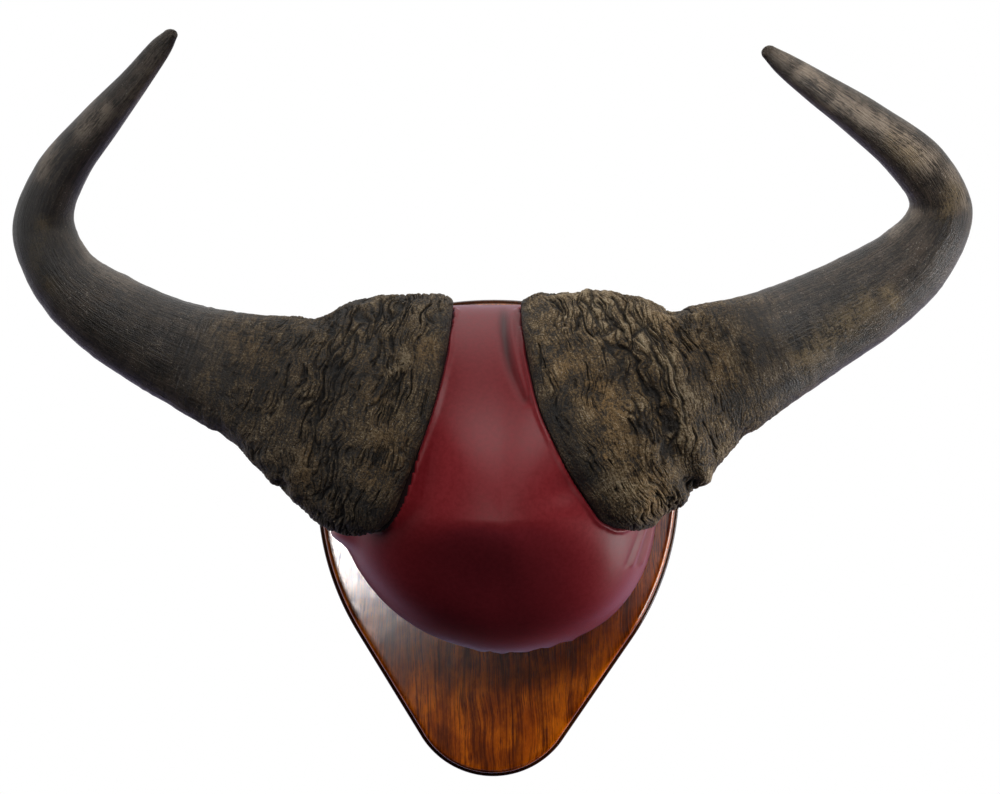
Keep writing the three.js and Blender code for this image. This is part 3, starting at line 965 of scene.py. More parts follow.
@dataclass
class Horn:
    """One horn: boss, beam and point, cut to sit on the leather.

    'bark_end', 'relief_end', 'neck' and 'ringed' are stretches of it, in shares of its length.
    """

    node: str
    stations: tuple[Station, ...]
    swells: Sequence[Mark]
    stains: Sequence[Mark]
    cracks: Sequence[Mark]
    worn: Sequence[Mark]
    rough: Sequence[Mark]
    # Patches of painted shade, darkening the colour where boss edges, hollows, bends and necks fall
    # into shade.
    painted_shadows: Sequence[Mark]
    growth: Sequence[Mark]
    seed: float
    tone: float
    boss_rows: int = 290
    beam_rows: int = 140
    front_columns: int = 176
    back_columns: int = 38
    boss_stations: float = 5.2
    rim_band: float = 9 * MM
    rim_round: float = 5 * MM
    roll_run: float = 20 * MM
    roll_height: float = 14 * MM
    least_height: float = 7 * MM
    least_soft: float = 10 * MM
    tuck_run: float = 30 * MM
    tuck_fade: float = 120 * MM
    upright_stations: float = 3.0
    cap_shares: tuple[float, ...] = (0.25, 0.5, 0.7, 0.8, 0.86, 0.9, 0.93, 0.955, 0.975, 0.99)
    radius: float = 60 * MM
    bark_end: Pair = (0.22, 0.38)
    relief_end: Pair = (0.16, 0.38)
    neck: tuple[Pair, Pair] = ((0.15, 0.24), (0.34, 0.48))
    ringed: tuple[Pair, Pair] = ((0.15, 0.30), (0.5, 0.85))
    least_rough: float = 0.36
    sizes: dict[str, float] = field(default_factory=lambda: {
        "Lump Height": 0.0042, "Knob Height": 0.0013, "Plate Height": 0.0007,
        "Scale Height": 0.0005, "Grain Height": 0.0010, "Crack Depth": 0.0026,
        "Fibre Height": 0.0004, "Ring Height": 0.0016, "Ridge Height": 0.0011,
    })

    def rows(self) -> Array:
        """Place the loft's rows, close together on the boss.

        Returns:
            Their places along the horn, from 0 to 1.
        """
        share = 1.0
        split = self.boss_stations / (len(self.stations) - 1)
        boss = np.linspace(0, split, int(self.boss_rows * share), endpoint=False)
        return np.concatenate([boss, np.linspace(split, 1, int(self.beam_rows * share))])

    def columns(self) -> Array:
        """Place the loft's columns, close together on the front.

        Returns:
            Their angles round a section.
        """
        share = 1.0
        front = np.linspace(0, math.pi, int(self.front_columns * share), endpoint=False)
        back = np.linspace(math.pi, FULL_TURN, int(self.back_columns * share), endpoint=False)
        return np.concatenate([front, back])

    def loft(self) -> tuple[Array, list, dict[str, Array]]:
        """Sweep the cross-sections along the horn and close both ends.

        Returns:
            The smooth horn's points and faces, each point's run and angle, and each ring's
            direction.
        """
        t = self.rows()
        angle = self.columns()
        curves = self.curves(t)
        centre, along, half, front = (curves[k] for k in ("centre", "along", "half", "front"))
        step = np.linalg.norm(np.diff(centre, axis=0), axis=1)
        run = np.concatenate([[0.0], np.cumsum(step)])
        cos, sin = np.cos(angle), np.sin(angle)
        rings = (centre[:, None] + half[:, None] * cos[None, :, None]
                 + (front * curves["thick"][:, None])[:, None] * sin[None, :, None]
                 - (along * curves["bow"][:, None])[:, None] * (sin**2)[None, :, None])
        sides = len(angle)
        points = [rings.reshape(-1, 3)]
        runs = [np.repeat(run, sides)]
        angles = [np.tile(angle, len(t))]
        # The inner end closes over a flat, bowed cap; the point closes over a small dome.
        root = rings[0]
        hub = centre[0] - along[0] * curves["bow"][0]
        for share in reversed(self.cap_shares):
            points.insert(0, hub + (root - hub) * share)
            runs.insert(0, np.zeros(sides))
            angles.insert(0, angle)
        end = rings[-1]
        size = float(curves["thick"][-1])
        for turn in np.linspace(0, math.pi / 2, 9)[1:-1]:
            ahead = along[-1] * size * math.sin(turn)
            points.append(centre[-1] + (end - centre[-1]) * math.cos(turn) + ahead)
            runs.append(np.full(sides, run[-1] + size * math.sin(turn)))
            angles.append(angle)
        grid = np.vstack(points)
        self.round_rim(grid.reshape(-1, sides, 3), run)
        faces = ring_faces(len(grid) // sides, sides)
        first, last = len(grid), len(grid) + 1
        tail = len(grid) - sides
        faces += [(first, (i + 1) % sides, i) for i in range(sides)]
        faces += [(last, tail + i, tail + (i + 1) % sides) for i in range(sides)]
        tip = centre[-1] + along[-1] * size
        grid = np.vstack([grid, hub, tip])
        values = {
            "run": np.concatenate([*runs, [0.0], [run[-1] + size]]),
            "angle": np.concatenate([*angles, [math.pi / 2], [math.pi / 2]]),
            "along": along[np.clip(np.arange(len(grid) // sides) - len(self.cap_shares),
                                   0, len(t) - 1)],
        }
        return grid, faces, values

    def round_rim(self, rings: Array, run: Array) -> None:
        """Round the edge between the inner end and the boss, column by column.

        Args:
            rings: The horn's rings of points, changed in place.
            run: How far along the horn each ring of the loft is.
        """
        last = int(np.searchsorted(run, 8 * self.rim_round)) + 10
        offsets = np.arange(-3, 3.01, 0.2) * self.rim_round
        kernel = np.exp(-0.5 * (offsets / self.rim_round) ** 2)
        kernel /= kernel.sum()
        for side in range(rings.shape[1]):
            column = rings[:last, side].copy()
            steps = np.linalg.norm(np.diff(column, axis=0), axis=1)
            along = np.concatenate([[0], np.cumsum(steps)])
            at = np.clip(along[:, None] + offsets, 0, along[-1])
            soft = np.stack([(np.interp(at, along, column[:, k]) * kernel).sum(1)
                             for k in range(3)], 1)
            keep = (smoothstep(0, 3 * self.rim_round, along)
                    * (1 - smoothstep(along[-1] - 3 * self.rim_round, along[-1], along)))
            rings[:last, side] = column + (soft - column) * keep[:, None]

    def curves(self, t: Array) -> dict[str, Array]:
        """Find the cross-sections between the stations.

        Args:
            t: Places along the horn, from 0 to 1.

        Returns:
            Each section's centre, half width, thickness, bow and directions, in metres.
        """
        def ends(pick: Callable, sign: float) -> list:
            """Return one end of every station, as points in space."""
            return [(pick(s)[0], -(s.depth + sign * s.lean), pick(s)[1]) for s in self.stations]

        def frame_at(steps: Array) -> tuple[Array, Array]:
            """Return the sections' centres and half widths."""
            upper = through(ends(lambda s: s.up, -1), steps) * MM
            lower = through(ends(lambda s: s.low, 1), steps) * MM
            return (upper + lower) / 2, (upper - lower) / 2

        centre, half = frame_at(t)
        ahead, _ = frame_at(np.minimum(t + 0.01, 1))
        behind, _ = frame_at(np.maximum(t - 0.01, 0))
        along = unit(ahead - behind)
        front = unit(np.cross(along, half))
        front *= -np.sign(front[:, 1:2])
        # Near the inner end the sections stand straight out from the wall.
        square = smoothstep(0, self.upright_stations, t * (len(self.stations) - 1))[:, None]
        front = front * square + np.array([0, -1, 0]) * (1 - square)
        form = through([(s.thick, s.bow, 0) for s in self.stations], t) * MM
        return {"centre": centre, "half": half, "along": along, "front": front,
                "thick": form[:, 0], "bow": form[:, 1]}

    def relief_tree(self) -> GeometryTree:
        """Build the tree that grows lumps, plates, cracks and fibres out of the smooth horn.

        Returns:
            The tree, its inputs set to the horn's sizes.
        """
        tree = GeometryTree(f"{self.node}_relief", self.sizes)
        g = tree.graph

        def named(name: str, kind: str = "FLOAT") -> object:
            """Return a named attribute of the mesh."""
            return g.node("GeometryNodeInputNamedAttribute", {"Name": name},
                          data_type=kind).outputs[0]

        def centred(value: object) -> object:
            """Return the value less one half."""
            return g.minus(value, 0.5)

        rest, around = named("rest", "FLOAT_VECTOR"), named("around", "FLOAT_VECTOR")
        pattern = Bark(g, around, rest, named("rough"))
        x, y, run = g.split(around)
        fibre = g.noise(g.join(x, y, g.times(run, 0.06)), 240.0, 3.0, 0.6)
        rings = g.noise(g.join(g.times(x, 0.12), g.times(y, 0.12), run), 48.0, 3.0, 0.6)
        lumps = g.noise(rest, 19.0, 2.0)
        knobs = g.noise(rest, 58.0, 2.0)
        bark_on, beam = named("bark_on"), named("beam")
        carved = g.math("MAXIMUM", pattern.furrow, named("carved"))
        terms = (
            ("Lump Height", g.times(centred(lumps), 2.0), bark_on),
            ("Knob Height", g.times(centred(knobs), 2.0), bark_on),
            ("Plate Height", g.minus(g.remap(pattern.plate, 0.0, 0.35), 0.7), bark_on),
            ("Scale Height", g.minus(g.remap(pattern.scale, 0.0, 0.30), 0.7), bark_on),
            ("Grain Height", g.times(centred(pattern.grain), 1.3), bark_on),
            ("Grain Height", g.times(centred(pattern.pit), 1.5), bark_on),
            ("Crack Depth", g.times(pattern.split, -0.5), bark_on),
            ("Crack Depth", g.times(carved, -1.0), bark_on),
            ("Fibre Height", g.times(centred(fibre), 2.0), g.minus(1.0, bark_on)),
            ("Ring Height", g.times(centred(rings), 2.0), beam),
            ("Ridge Height", g.times(centred(pattern.ridge), 2.0), named("neck")),
        )
        height = g.plus(*(g.times(tree[size], amount, weight) for size, amount, weight in terms))
        raised = g.node("GeometryNodeSetPosition", {
            "Geometry": tree["Geometry"],
            "Offset": g.vector("SCALE", g.node("GeometryNodeInputNormal").outputs[0], scale=height),
        }).outputs[0]
        tree.close(raised)
        return tree

    def build(self, dome: Dome, finish: Material) -> Thing:
        """Build the horn and dress it.

        Args:
            dome: The leather-covered dome that the horn sits on.
            finish: The horn's material.

        Returns:
            The finished piece.
        """
        grid, faces, values = self.loft()
        made = make_object(f"{self.node}_surface", grid, faces)
        mesh = made.data
        run, angle = values["run"], values["angle"]
        share = run / run.max()
        x, z = grid[:, 0], grid[:, 2]
        front = smoothstep(-0.45, 0.10, np.sin(angle))
        seed = self.seed
        unrolled = [np.cos(angle) * self.radius + seed, np.sin(angle) * self.radius, run]
        store(mesh, "around", np.stack(unrolled, 1))
        store(mesh, "bark", 1 - smoothstep(*self.bark_end, share))
        store(mesh, "bark_on", (1 - smoothstep(*self.relief_end, share))
              * smoothstep(self.rim_band * 0.2, self.rim_band * 1.6, run))
        for name, (start, stop) in (("neck", self.neck), ("beam", self.ringed)):
            store(mesh, name, smoothstep(*start, share) * (1 - smoothstep(*stop, share)))
        # 'tone' is the horn's own brightness, darkened by the painted shade of the shadow marks.
        store(mesh, "tone", self.tone * (1 - strongest(self.painted_shadows, x, z) * front))
        store(mesh, "rough", np.maximum(strongest(self.rough, x, z), self.least_rough))
        for name, marks in (("worn", self.worn), ("stain", self.stains), ("growth", self.growth)):
            store(mesh, name, strongest(marks, x, z) * front)
        # The drawn cracks waver by a millimetre or two.
        waver_x = x + MM * (1.6 * np.sin(z / MM / 5.3 + seed) + 0.9 * np.sin(z / MM / 2.3))
        waver_z = z + MM * (1.4 * np.sin(x / MM / 4.1) + 0.8 * np.sin(x / MM / 1.9 + 1))
        store(mesh, "carved", strongest(self.cracks, waver_x, waver_z) * front)
        normals = vertex_normals(mesh)
        swelled = np.zeros(len(grid))
        for swell in self.swells:
            swelled += swell.height * MM * swell.weight(x, z) * front
        shaped = grid + normals * swelled[:, None]
        store(mesh, "rest", shaped + np.array([seed, 0, 0]))
        move_vertices(mesh, shaped)
        self.relief_tree().run(made, finish)
        self.seat(made.data, dome, values)
        return dress(made, finish, "horn", self.node)

    def seat(self, mesh: Mesh, dome: Dome, values: dict[str, Array]) -> None:
        """Set the horn on the dome's leather, its front edge rolled down to the hide.

        Args:
            mesh: The horn, in place.
            dome: The dome that it sits on.
            values: The loft's values: each point's run and angle, each ring's direction.
        """
        points = vertices(mesh)
        self.tuck_under(points, dome, values)
        run, sin = values["run"], np.sin(values["angle"])
        front = smoothstep(-0.10, 0.35, sin)
        below = dome.depth(points[:, 0], points[:, 2])
        height = -points[:, 1] - below
        share = np.clip(0.5 + 0.5 * (height - self.least_height) / self.least_soft, 0, 1)
        proud = (self.least_height * (1 - share) + height * share
                 + self.least_soft * share * (1 - share))
        proud = proud * front + np.maximum(height, 0) * (1 - front)
        edge = 1 - np.clip(run / self.roll_run, 0, 1)
        rolled = np.minimum(proud, self.roll_height) * (1 - np.sqrt(1 - edge**2)) * front
        seated = below + WALL_GAP + proud - rolled
        on_dome = smoothstep(dome.foot_depth, dome.foot_depth + 0.025, below)
        points[:, 1] = points[:, 1] * (1 - on_dome) - seated * on_dome
        move_vertices(mesh, points)
        mesh.shade_smooth()

    def tuck_under(self, points: Array, dome: Dome, values: dict[str, Array]) -> None:
        """Draw the back of the horn in under its front wherever the dome is in its way.

        Args:
            points: The horn's points, changed in place.
            dome: The dome that it sits on.
            values: The loft's values.
        """
        columns = self.columns()
        sides = len(columns)
        grid = points[:-2].reshape(-1, sides, 3)
        below = dome.depth(grid[:, :, 0], grid[:, :, 2])
        hidden = smoothstep(0, 0.015, below + grid[:, :, 1])
        run = values["run"][:-2].reshape(-1, sides)
        facing = columns <= math.pi + 1e-9
        away = ~facing
        inwards = self.tuck_run * (1 - smoothstep(0, self.tuck_fade, run)) * np.sin(columns) ** 2
        for row, ring in enumerate(grid):
            for axis in (0, 2):
                under = np.interp(FULL_TURN - columns[away], columns[facing], ring[facing, axis])
                under += inwards[row, away] * values["along"][row, axis]
                ring[away, axis] += (under - ring[away, axis]) * hidden[row, away]
        first = len(self.cap_shares)
        root = grid[first]
        hub = root.mean(0) + values["along"][0] * self.tuck_run / 3
        hub[1] = root[:, 1].mean()
        for row, share in enumerate(self.cap_shares):
            grid[row] = hub + (root - hub) * share
        points[-2] = hub


# Depth, lean and half thickness of the stations, from the root to the point.
PROFILE = (
    (110, 40, 50), (110, 40, 56), (111, 37, 61), (112, 30, 62), (108, 20, 55), (100, 12, 45),
    (92, 7, 41), (84, 3, 38), (80, 0, 36), (80, 0, 34), (86, 0, 30), (102, 0, 26), (128, 0, 21.5),
    (160, 0, 15.5), (186, 0, 10), (196, 0, 7),
)
# Upper end and lower end of each station, and its bow where it has one.
LEFT_ENDS = (
    ((-43, 242), (-106, 25), 14), ((-49, 249), (-120, 13), 13), ((-78, 250), (-150, 9), 9),
    ((-119, 248), (-178, 19), 4), ((-159, 239), (-206, 44)), ((-204, 227), (-254, 86)),
    ((-260, 230), (-299, 118)), ((-321, 244), (-365, 157)), ((-377, 269), (-428, 201)),
    ((-413, 291), (-471, 252)), ((-428, 325), (-490, 315)), ((-413, 364), (-465, 377)),
    ((-377, 411), (-414, 429)), ((-343, 452), (-367, 467)), ((-319, 482), (-336, 494)),
    ((-312, 494), (-325, 500)),
)
RIGHT_ENDS = (
    ((22, 242), (99, 27), 19), ((29, 248), (114, 16), 18), ((59, 251), (144, 14), 12),
    ((104, 252), (170, 32), 5), ((145, 243), (202, 56)), ((190, 237), (242, 96)),
    ((241, 246), (290, 133)), ((297, 264), (347, 172)), ((353, 289), (411, 217)),
    ((392, 311), (456, 264)), ((417, 338), (481, 332)), ((393, 372), (450, 392)),
    ((348, 409), (385, 435)), ((307, 437), (326, 463)), ((273, 462), (286, 480)),
    ((260, 475), (270, 486)),
)


def stations(ends: Sequence[tuple]) -> tuple[Station, ...]:
    """Return the stations of a horn, from its own ends and the profile that both share."""
    return tuple(Station(up, low, *form, *bow) for (up, low, *bow), form in zip(ends, PROFILE))


def left_horn() -> Horn:
    """Return the left horn: steeper point, swirled boss."""
    return Horn(
        "left_horn", stations(LEFT_ENDS),
        swells=mark_rows(
            (13, -5, (-168, 240), (-172, 150), (-176, 52)), (14, -7, (-186, 232)),
            (26, 3, (-135, 177)), (30, 4, (-127, 45)), (9, 6, (-196, 48), (-202, 66)),
            (10, 4, (-222, 66), (-230, 80)), (5, -5, (-211, 58)),
            (9, -4.5, (-276, 106), (-262, 92)),
        ),
        stains=mark_rows(
            (13, 0.9, (-69, 191)), (15, 0.8, (-119, 71)), (10, 0.6, (-119, 145)),
            (17, 0.5, (-110, 105), (-95, 90)), (10, 0.5, (-184, 90), (-190, 60)),
            (10, 0.5, (-287, 162)), (9, 0.8, (-458, 318), (-464, 282), (-452, 258)),
            (8, 0.5, (-335, 455), (-350, 437)), (12, 0.4, (-270, 210), (-240, 190)),
        ),
        cracks=mark_rows(
            (1.7, 1, (-116, 245), (-114, 234), (-121, 228)),
            (2, 1, (-132, 219), (-145, 205), (-155, 186), (-164, 177)),
            (1.8, 1, (-140, 203), (-142, 187), (-145, 178), (-160, 170)),
            (1.3, 0.9, (-102, 207), (-105, 199), (-103, 190)), (1.3, 1, (-87, 246), (-87, 238)),
            (1.2, 0.8, (-57, 242), (-57, 231)), (1.3, 0.8, (-116, 205), (-116, 192), (-122, 178)),
            (1.6, 1, (-91, 168), (-104, 156), (-108, 145), (-122, 137)),
            (1.7, 1, (-156, 119), (-162, 101), (-158, 84)), (1.6, 0.9, (-170, 95), (-166, 77)),
            (1.6, 0.9, (-195, 143), (-167, 139)), (1.2, 0.7, (-114, 94), (-122, 75)),
            (1.4, 0.8, (-147, 62), (-142, 45)), (1.3, 0.8, (-96, 232), (-108, 222)),
            (1.7, 0.9, (-185, 118), (-178, 92)),
        ),
        rough=mark_rows(
            (24, 1, (-100, 238), (-150, 212), (-172, 170), (-178, 110), (-165, 60)),
            (12, 0.6, (-92, 165), (-125, 135)),
        ),
        # Painted shade: dark patches on the boss, along its inner edge, on the neck and at the
        # outer bend.
        painted_shadows=mark_rows(
            (14, 0.5, (-163, 172), (-158, 155)), (18, 0.35, (-118, 30), (-138, 44)),
            (4, 0.45, (-45, 232), (-52, 190), (-66, 140), (-82, 95), (-102, 45)),
            (14, 0.35, (-150, 60), (-168, 84)), (12, 0.25, (-182, 215), (-150, 236)),
            (32, 0.18, (-200, 140), (-222, 190)), (28, 0.78, (-474, 330), (-458, 268)),
        ),
        worn=mark_rows(
            (9, 0.9, (-332, 490), (-318, 500)), (9, 0.7, (-440, 396), (-456, 368)),
            (12, 0.95, (-408, 412), (-388, 430)), (10, 0.6, (-347, 458), (-325, 490)),
            (8, 0.4, (-420, 305), (-402, 275), (-372, 258)),
            (9, 0.55, (-372, 428), (-345, 460), (-325, 488)),
        ),
        growth=mark_rows(
            (7, 0.9, (-316, 218), (-322, 196)), (8, 1, (-286, 215), (-300, 190)),
            (8, 0.7, (-306, 182), (-318, 150), (-322, 132)), (12, 0.5, (-262, 225)),
        ),
        seed=0,
        tone=0.78,
    )


def right_horn() -> Horn:
    """Return the right horn: point curled in, boss crossed by a deep diagonal furrow."""
    return Horn(
        "right_horn", stations(RIGHT_ENDS),
        swells=mark_rows(
            (38, 5, (60, 130), (85, 90)),
            (10, -6.5, (93, 240), (118, 200), (143, 157), (172, 105), (190, 66)),
            (14, -5, (143, 157)), (15, 4, (140, 236), (172, 160), (203, 84)),
            (4.5, 3, (106, 85)), (26, 4, (143, 47)), (12, 8, (178, 48)), (9, 7, (205, 66)),
            (5, -7, (192, 56)), (13, -8, (178, 238)), (4, -2, (78, 251)), (7, 2.5, (90, 252)),
            (10, -3, (34, 240)), (8, -6.5, (250, 104)),
        ),
        stains=mark_rows(
            (16, 1, (98, 152), (110, 134)), (10, 1, (169, 131)),
            (17, 0.9, (152, 58), (150, 40)), (9, 0.5, (176, 210), (160, 226)),
            (20, 0.45, (70, 175), (90, 160)), (22, 0.5, (115, 110), (130, 90)),
            (10, 0.6, (450, 330), (458, 350)), (11, 0.5, (395, 400), (415, 384)),
            (16, 0.6, (305, 185), (370, 238)), (8, 0.7, (390, 250), (400, 240)),
            (5, 1, (106, 85)), (16, 0.4, (200, 190), (230, 170)),
        ),
        cracks=mark_rows(
            (1.7, 1, (84, 248), (92, 235), (106, 216)),
            (1.8, 1, (98, 242), (112, 226), (124, 209)),
            (1.7, 1, (114, 245), (122, 232), (130, 219)),
            (2.1, 1, (140, 220), (154, 190), (162, 170), (170, 142)),
            (1.8, 1, (100, 214), (116, 190), (128, 168), (129, 154)),
            (1.6, 1, (132, 146), (141, 126), (140, 116)), (1.7, 1, (156, 116), (158, 102)),
            (1.6, 1, (168, 143), (170, 122)), (2.1, 1, (176, 94), (176, 77)),
            (1.6, 0.9, (150, 128), (146, 112), (152, 98)),
            (1.7, 0.9, (160, 205), (171, 180), (178, 150), (186, 120)),
            (1.4, 0.8, (172, 220), (184, 190), (190, 160)), (1.2, 0.6, (62, 236), (58, 216)),
            (1.6, 0.9, (164, 96), (163, 80)),
        ),
        rough=mark_rows(
            (24, 1, (85, 244), (125, 205), (152, 160), (176, 100)),
            (18, 0.9, (130, 240), (165, 195)),
        ),
        # Painted shade: dark patches along the boss's inner edge, in its hollows, on the neck, beam
        # and bend.
        painted_shadows=mark_rows(
            (13, 0.66, (16, 238), (23, 190), (40, 132), (63, 78), (92, 34)), (12, 0.55, (118, 173)),
            (12, 0.2, (135, 95), (150, 130)), (12, 0.4, (185, 62)), (10, 0.3, (72, 45), (90, 62)),
            (18, 0.72, (54, 134), (70, 100), (92, 66)), (32, 0.28, (200, 150), (222, 205)),
            (34, 0.34, (250, 170), (340, 240)), (24, 0.28, (452, 290), (462, 345)),
        ),
        worn=mark_rows(
            (13, 1, (300, 462), (345, 430), (395, 408), (430, 382)),
            (9, 0.6, (455, 372), (470, 340)), (8, 0.6, (275, 478), (320, 455)),
            (7, 0.5, (418, 330), (400, 312)), (24, 0.9, (85, 248), (150, 215)),
            (12, 0.9, (168, 190), (186, 110)), (20, 0.8, (125, 60), (150, 50)),
            (10, 0.8, (205, 66)),
        ),
        growth=mark_rows((16, 0.7, (222, 226), (240, 180), (262, 125))),
        seed=3.7,
        tone=1.24,
    )


# ---- leather and block


@dataclass
class LeatherCover:
    """The hide stretched over the block, lipped where it meets the horns.

    'columns' are its mesh's angles, as runs of start, stop and steps. 'folds' and 'hem' are
    its creases and gathers; each gather has an angle, a width in degrees and a size. Folds die
    away above 'top_fade' where the hide turns back to the wall within 'wall_fade'. A sunk
    fold is darkened with painted shade, less so below 'groove_fade'.
    """

    node: str = "leather_cover"
    rings: int = 132
    inner_rings: int = 30
    columns: tuple[tuple[float, float, int], ...] = (
        (-100, -20, 96), (-20, 40, 84), (40, 84, 110), (84, 98, 20), (98, 130, 84),
        (130, 200, 92), (200, 260, 52),
    )
    thickness: float = 1.3 * MM
    lip_height: float = 2.6 * MM
    lip_reach: float = 4.6 * MM
    gap_width: float = 2.0 * MM
    tuck: float = 1.0 * MM
    flat: Pair = (0.50, 0.56)
    flat_area: float = 0.215
    folds: Sequence[Mark] = mark_rows(
        (4.7, -1.9, (6, 240), (7, 212), (10, 190), (14, 173), (21, 156), (28, 142)),
        (2.8, 1.2, (14, 236), (15, 205), (21, 172), (29, 146)), (14, -2, (63, 52)),
        (10, 13, (-157, 8)), (9, 3, (-150, -2)), (2.2, 1.4, (161, 21), (147, -24)),
        (2, -1, (156, 20), (142, -24)), (2.3, 1.1, (151, 18), (136, -24)),
        (2.2, -0.8, (145, 15), (130, -24)),
    )
    hem: tuple[tuple[float, float, float], ...] = (
        (-61, 1.8, 2.0), (-65.5, 1.0, -1.6), (-70, 2.2, 1.6), (-74, 0.9, -1.6), (-80, 2.4, 1.4),
        (-86.5, 0.8, -2.2), (-90, 2.0, 1.2), (-95, 0.8, -2.4), (-99, 2.4, 1.2),
    )
    lift: tuple[float, float, float] = (-85, 13, 2.6 * MM)
    top_fade: Pair = (0.20, 0.235)
    wall_fade: Pair = (0.03, 0.08)
    groove_reach: float = 6
    groove_depth: float = 1.8
    groove_fade: Pair = (0.150, 0.200)
    groove_least: float = 0.4

    def build(self, dome: Dome, horns: Sequence[Thing],
              finish: Material) -> Thing:
        """Args:
            dome: The shape that the hide is stretched over.
            horns: The finished horns, which press the hide down.
            finish: The hide's material.

        Returns:
            The finished piece.
        """
        share = 1.0
        angle = np.radians(np.concatenate([
            np.linspace(start, stop, int(steps * share), endpoint=False)
            for start, stop, steps in self.columns
        ]))
        back = dome.foot_depth + WALL_GAP
        points, faces, down = dome.skin(int(self.rings * share), angle)
        normals = skin_normals(points, faces)
        gap, covered = self.clearance(points, normals, horns)
        height, groove = self.creases(points, gap)
        height[covered] = -self.tuck
        outer = points + normals * height[:, None]
        self.gather(outer, angle, down)
        outer[:, 1] = np.minimum(outer[:, 1], -back)
        inner, inner_faces, _ = dome.skin(int(self.inner_rings * share), angle)
        inner -= skin_normals(inner, inner_faces) * (self.tuck + self.thickness)
        inner[:, 1] = np.minimum(inner[:, 1], -back)
        sides = len(angle)
        inwards = unit((outer[-sides:] - outer[0]) * np.array([1, 0, 1]))
        inner[-sides:] = outer[-sides:] - inwards * self.thickness
        first = len(outer)
        near, far = first - sides, first + len(inner) - sides
        rim = [(near + i, near + (i + 1) % sides, far + (i + 1) % sides, far + i)
               for i in range(sides)]
        skin = faces + [tuple(first + i for i in reversed(face)) for face in inner_faces] + rim
        made = make_object("leather_hide", np.vstack([outer, inner]), skin)
        # The 'gap' attribute carries painted shade: near black in the crevice along the horns,
        # under them and on the hide's inside.
        lit = smoothstep(self.gap_width * 0.45, self.gap_width * 1.05, gap)
        dark = np.where(covered, 1.0, 1 - lit)
        below = np.zeros(len(inner))
        store(made.data, "gap", np.concatenate([dark, below + 1]))
        store(made.data, "groove", np.concatenate([groove, below]))
        dress(made, finish, "leather", self.node)
        return made

    def creases(self, points: Array, gap: Array) -> tuple[Array, Array]:
        """Raise the lips along the horns and press in the folds.

        Args:
            points: The points of the smooth hide.
            gap: Each point's distance to the horns.

        Returns:
            How far each point stands out, and how much painted shade it gets as part of a groove.
        """
        lip = np.exp(-(((gap - self.gap_width * 1.6) / (self.lip_reach * 0.55)) ** 2))
        lip *= smoothstep(self.gap_width * 0.5, self.gap_width * 1.4, gap)
        height = self.lip_height * lip - self.tuck * (1 - smoothstep(0, self.gap_width, gap))
        groove = np.zeros(len(points))
        x, depth, z = points[:, 0], -points[:, 1], points[:, 2]
        over_top = smoothstep(*self.top_fade, z) * (1 - smoothstep(*self.wall_fade, depth))
        for fold in self.folds:
            weight = fold.weight(x, z) * (1 - over_top)
            height += fold.height * MM * weight
            if fold.height < 0 and fold.reach < self.groove_reach:
                groove = np.maximum(groove, weight * min(1.0, -fold.height / self.groove_depth))
        fade = smoothstep(*self.groove_fade, z)
        return height, groove * (self.groove_least + (1 - self.groove_least) * fade)

    def gather(self, outer: Array, angle: Array, down: Array) -> None:
        """Draw the hem into uneven gathers and lift it off the shield below.

        Args:
            outer: The hide's outer points, changed in place.
            angle: The directions of its columns.
            down: Each point's share of the way from the crown to the hem.
        """
        turn = np.degrees(np.concatenate([[0.0], np.tile(angle, (len(outer) - 1) // len(angle))]))
        turn = np.where(turn > 180, turn - 360, turn)
        foot = smoothstep(0.88, 1.0, down)
        out = np.zeros(len(outer))
        for at, width, size in self.hem:
            out += size * MM * np.exp(-(((turn - at) / width) ** 2)) * foot
        outer += unit((outer - outer[0]) * np.array([1, 0, 1])) * out[:, None]
        at, width, size = self.lift
        outer[:, 1] -= size * np.exp(-(((turn - at) / width) ** 2)) * smoothstep(0.93, 1.0, down)

    @staticmethod
    def clearance(points: Array, normals: Array,
                  horns: Sequence[Thing]) -> tuple[Array, Array]:
        """Measure the room between the hide and the horns.

        Args:
            points: The hide's points.
            normals: Its outward directions.
            horns: The finished horns.

        Returns:
            Each point's distance to the nearest horn, and whether a horn lies over it.
        """
        gap = np.full(len(points), 1.0)
        covered = np.zeros(len(points), dtype=bool)
        for horn in horns:
            mesh = horn.data
            tree = BVHTree.FromPolygons([v.co[:] for v in mesh.vertices],
                                        [p.vertices[:] for p in mesh.polygons])
            for i, (point, normal) in enumerate(zip(points, normals)):
                origin, way = Vector(point), Vector(normal)
                near = tree.find_nearest(origin, 0.03)
                if near[0] is not None:
                    gap[i] = min(gap[i], near[3])
                if near[0] is not None or not covered[i]:
                    hit = tree.ray_cast(origin - way * 0.001, way, 0.25)
                    covered[i] = covered[i] or hit[0] is not None
        return gap, covered


@dataclass
class ForeheadBlock:
    """The wooden block under the leather."""

    node: str = "forehead_block"
    inset: float = 4.5 * MM
    rings: int = 24
    sides: int = 96

    def build(self, dome: Dome, finish: Material) -> Thing:
        """Build the block and dress it.

        Args:
            dome: The shape of the leather over it.
            finish: The block's wood.

        Returns:
            The finished piece.
        """
        angle = np.linspace(0, FULL_TURN, self.sides, endpoint=False)
        points, faces, _ = dome.skin(self.rings, angle)
        made = make_object("forehead_core", points, faces)
        inner = points - skin_normals(points, faces) * self.inset
        back = -(dome.foot_depth + WALL_GAP)
        inner[-self.sides:, 1] = back
        inner[:, 1] = np.minimum(inner[:, 1], back)
        move_vertices(made.data, inner)
        work = bmesh.new()
        work.from_mesh(made.data)
        bmesh.ops.holes_fill(work, edges=[e for e in work.edges if e.is_boundary])
        bmesh.ops.recalc_face_normals(work, faces=work.faces)
        work.to_mesh(made.data)
        work.free()
        return dress(made, finish, "block_wood", self.node)


# ---- shield and hardware


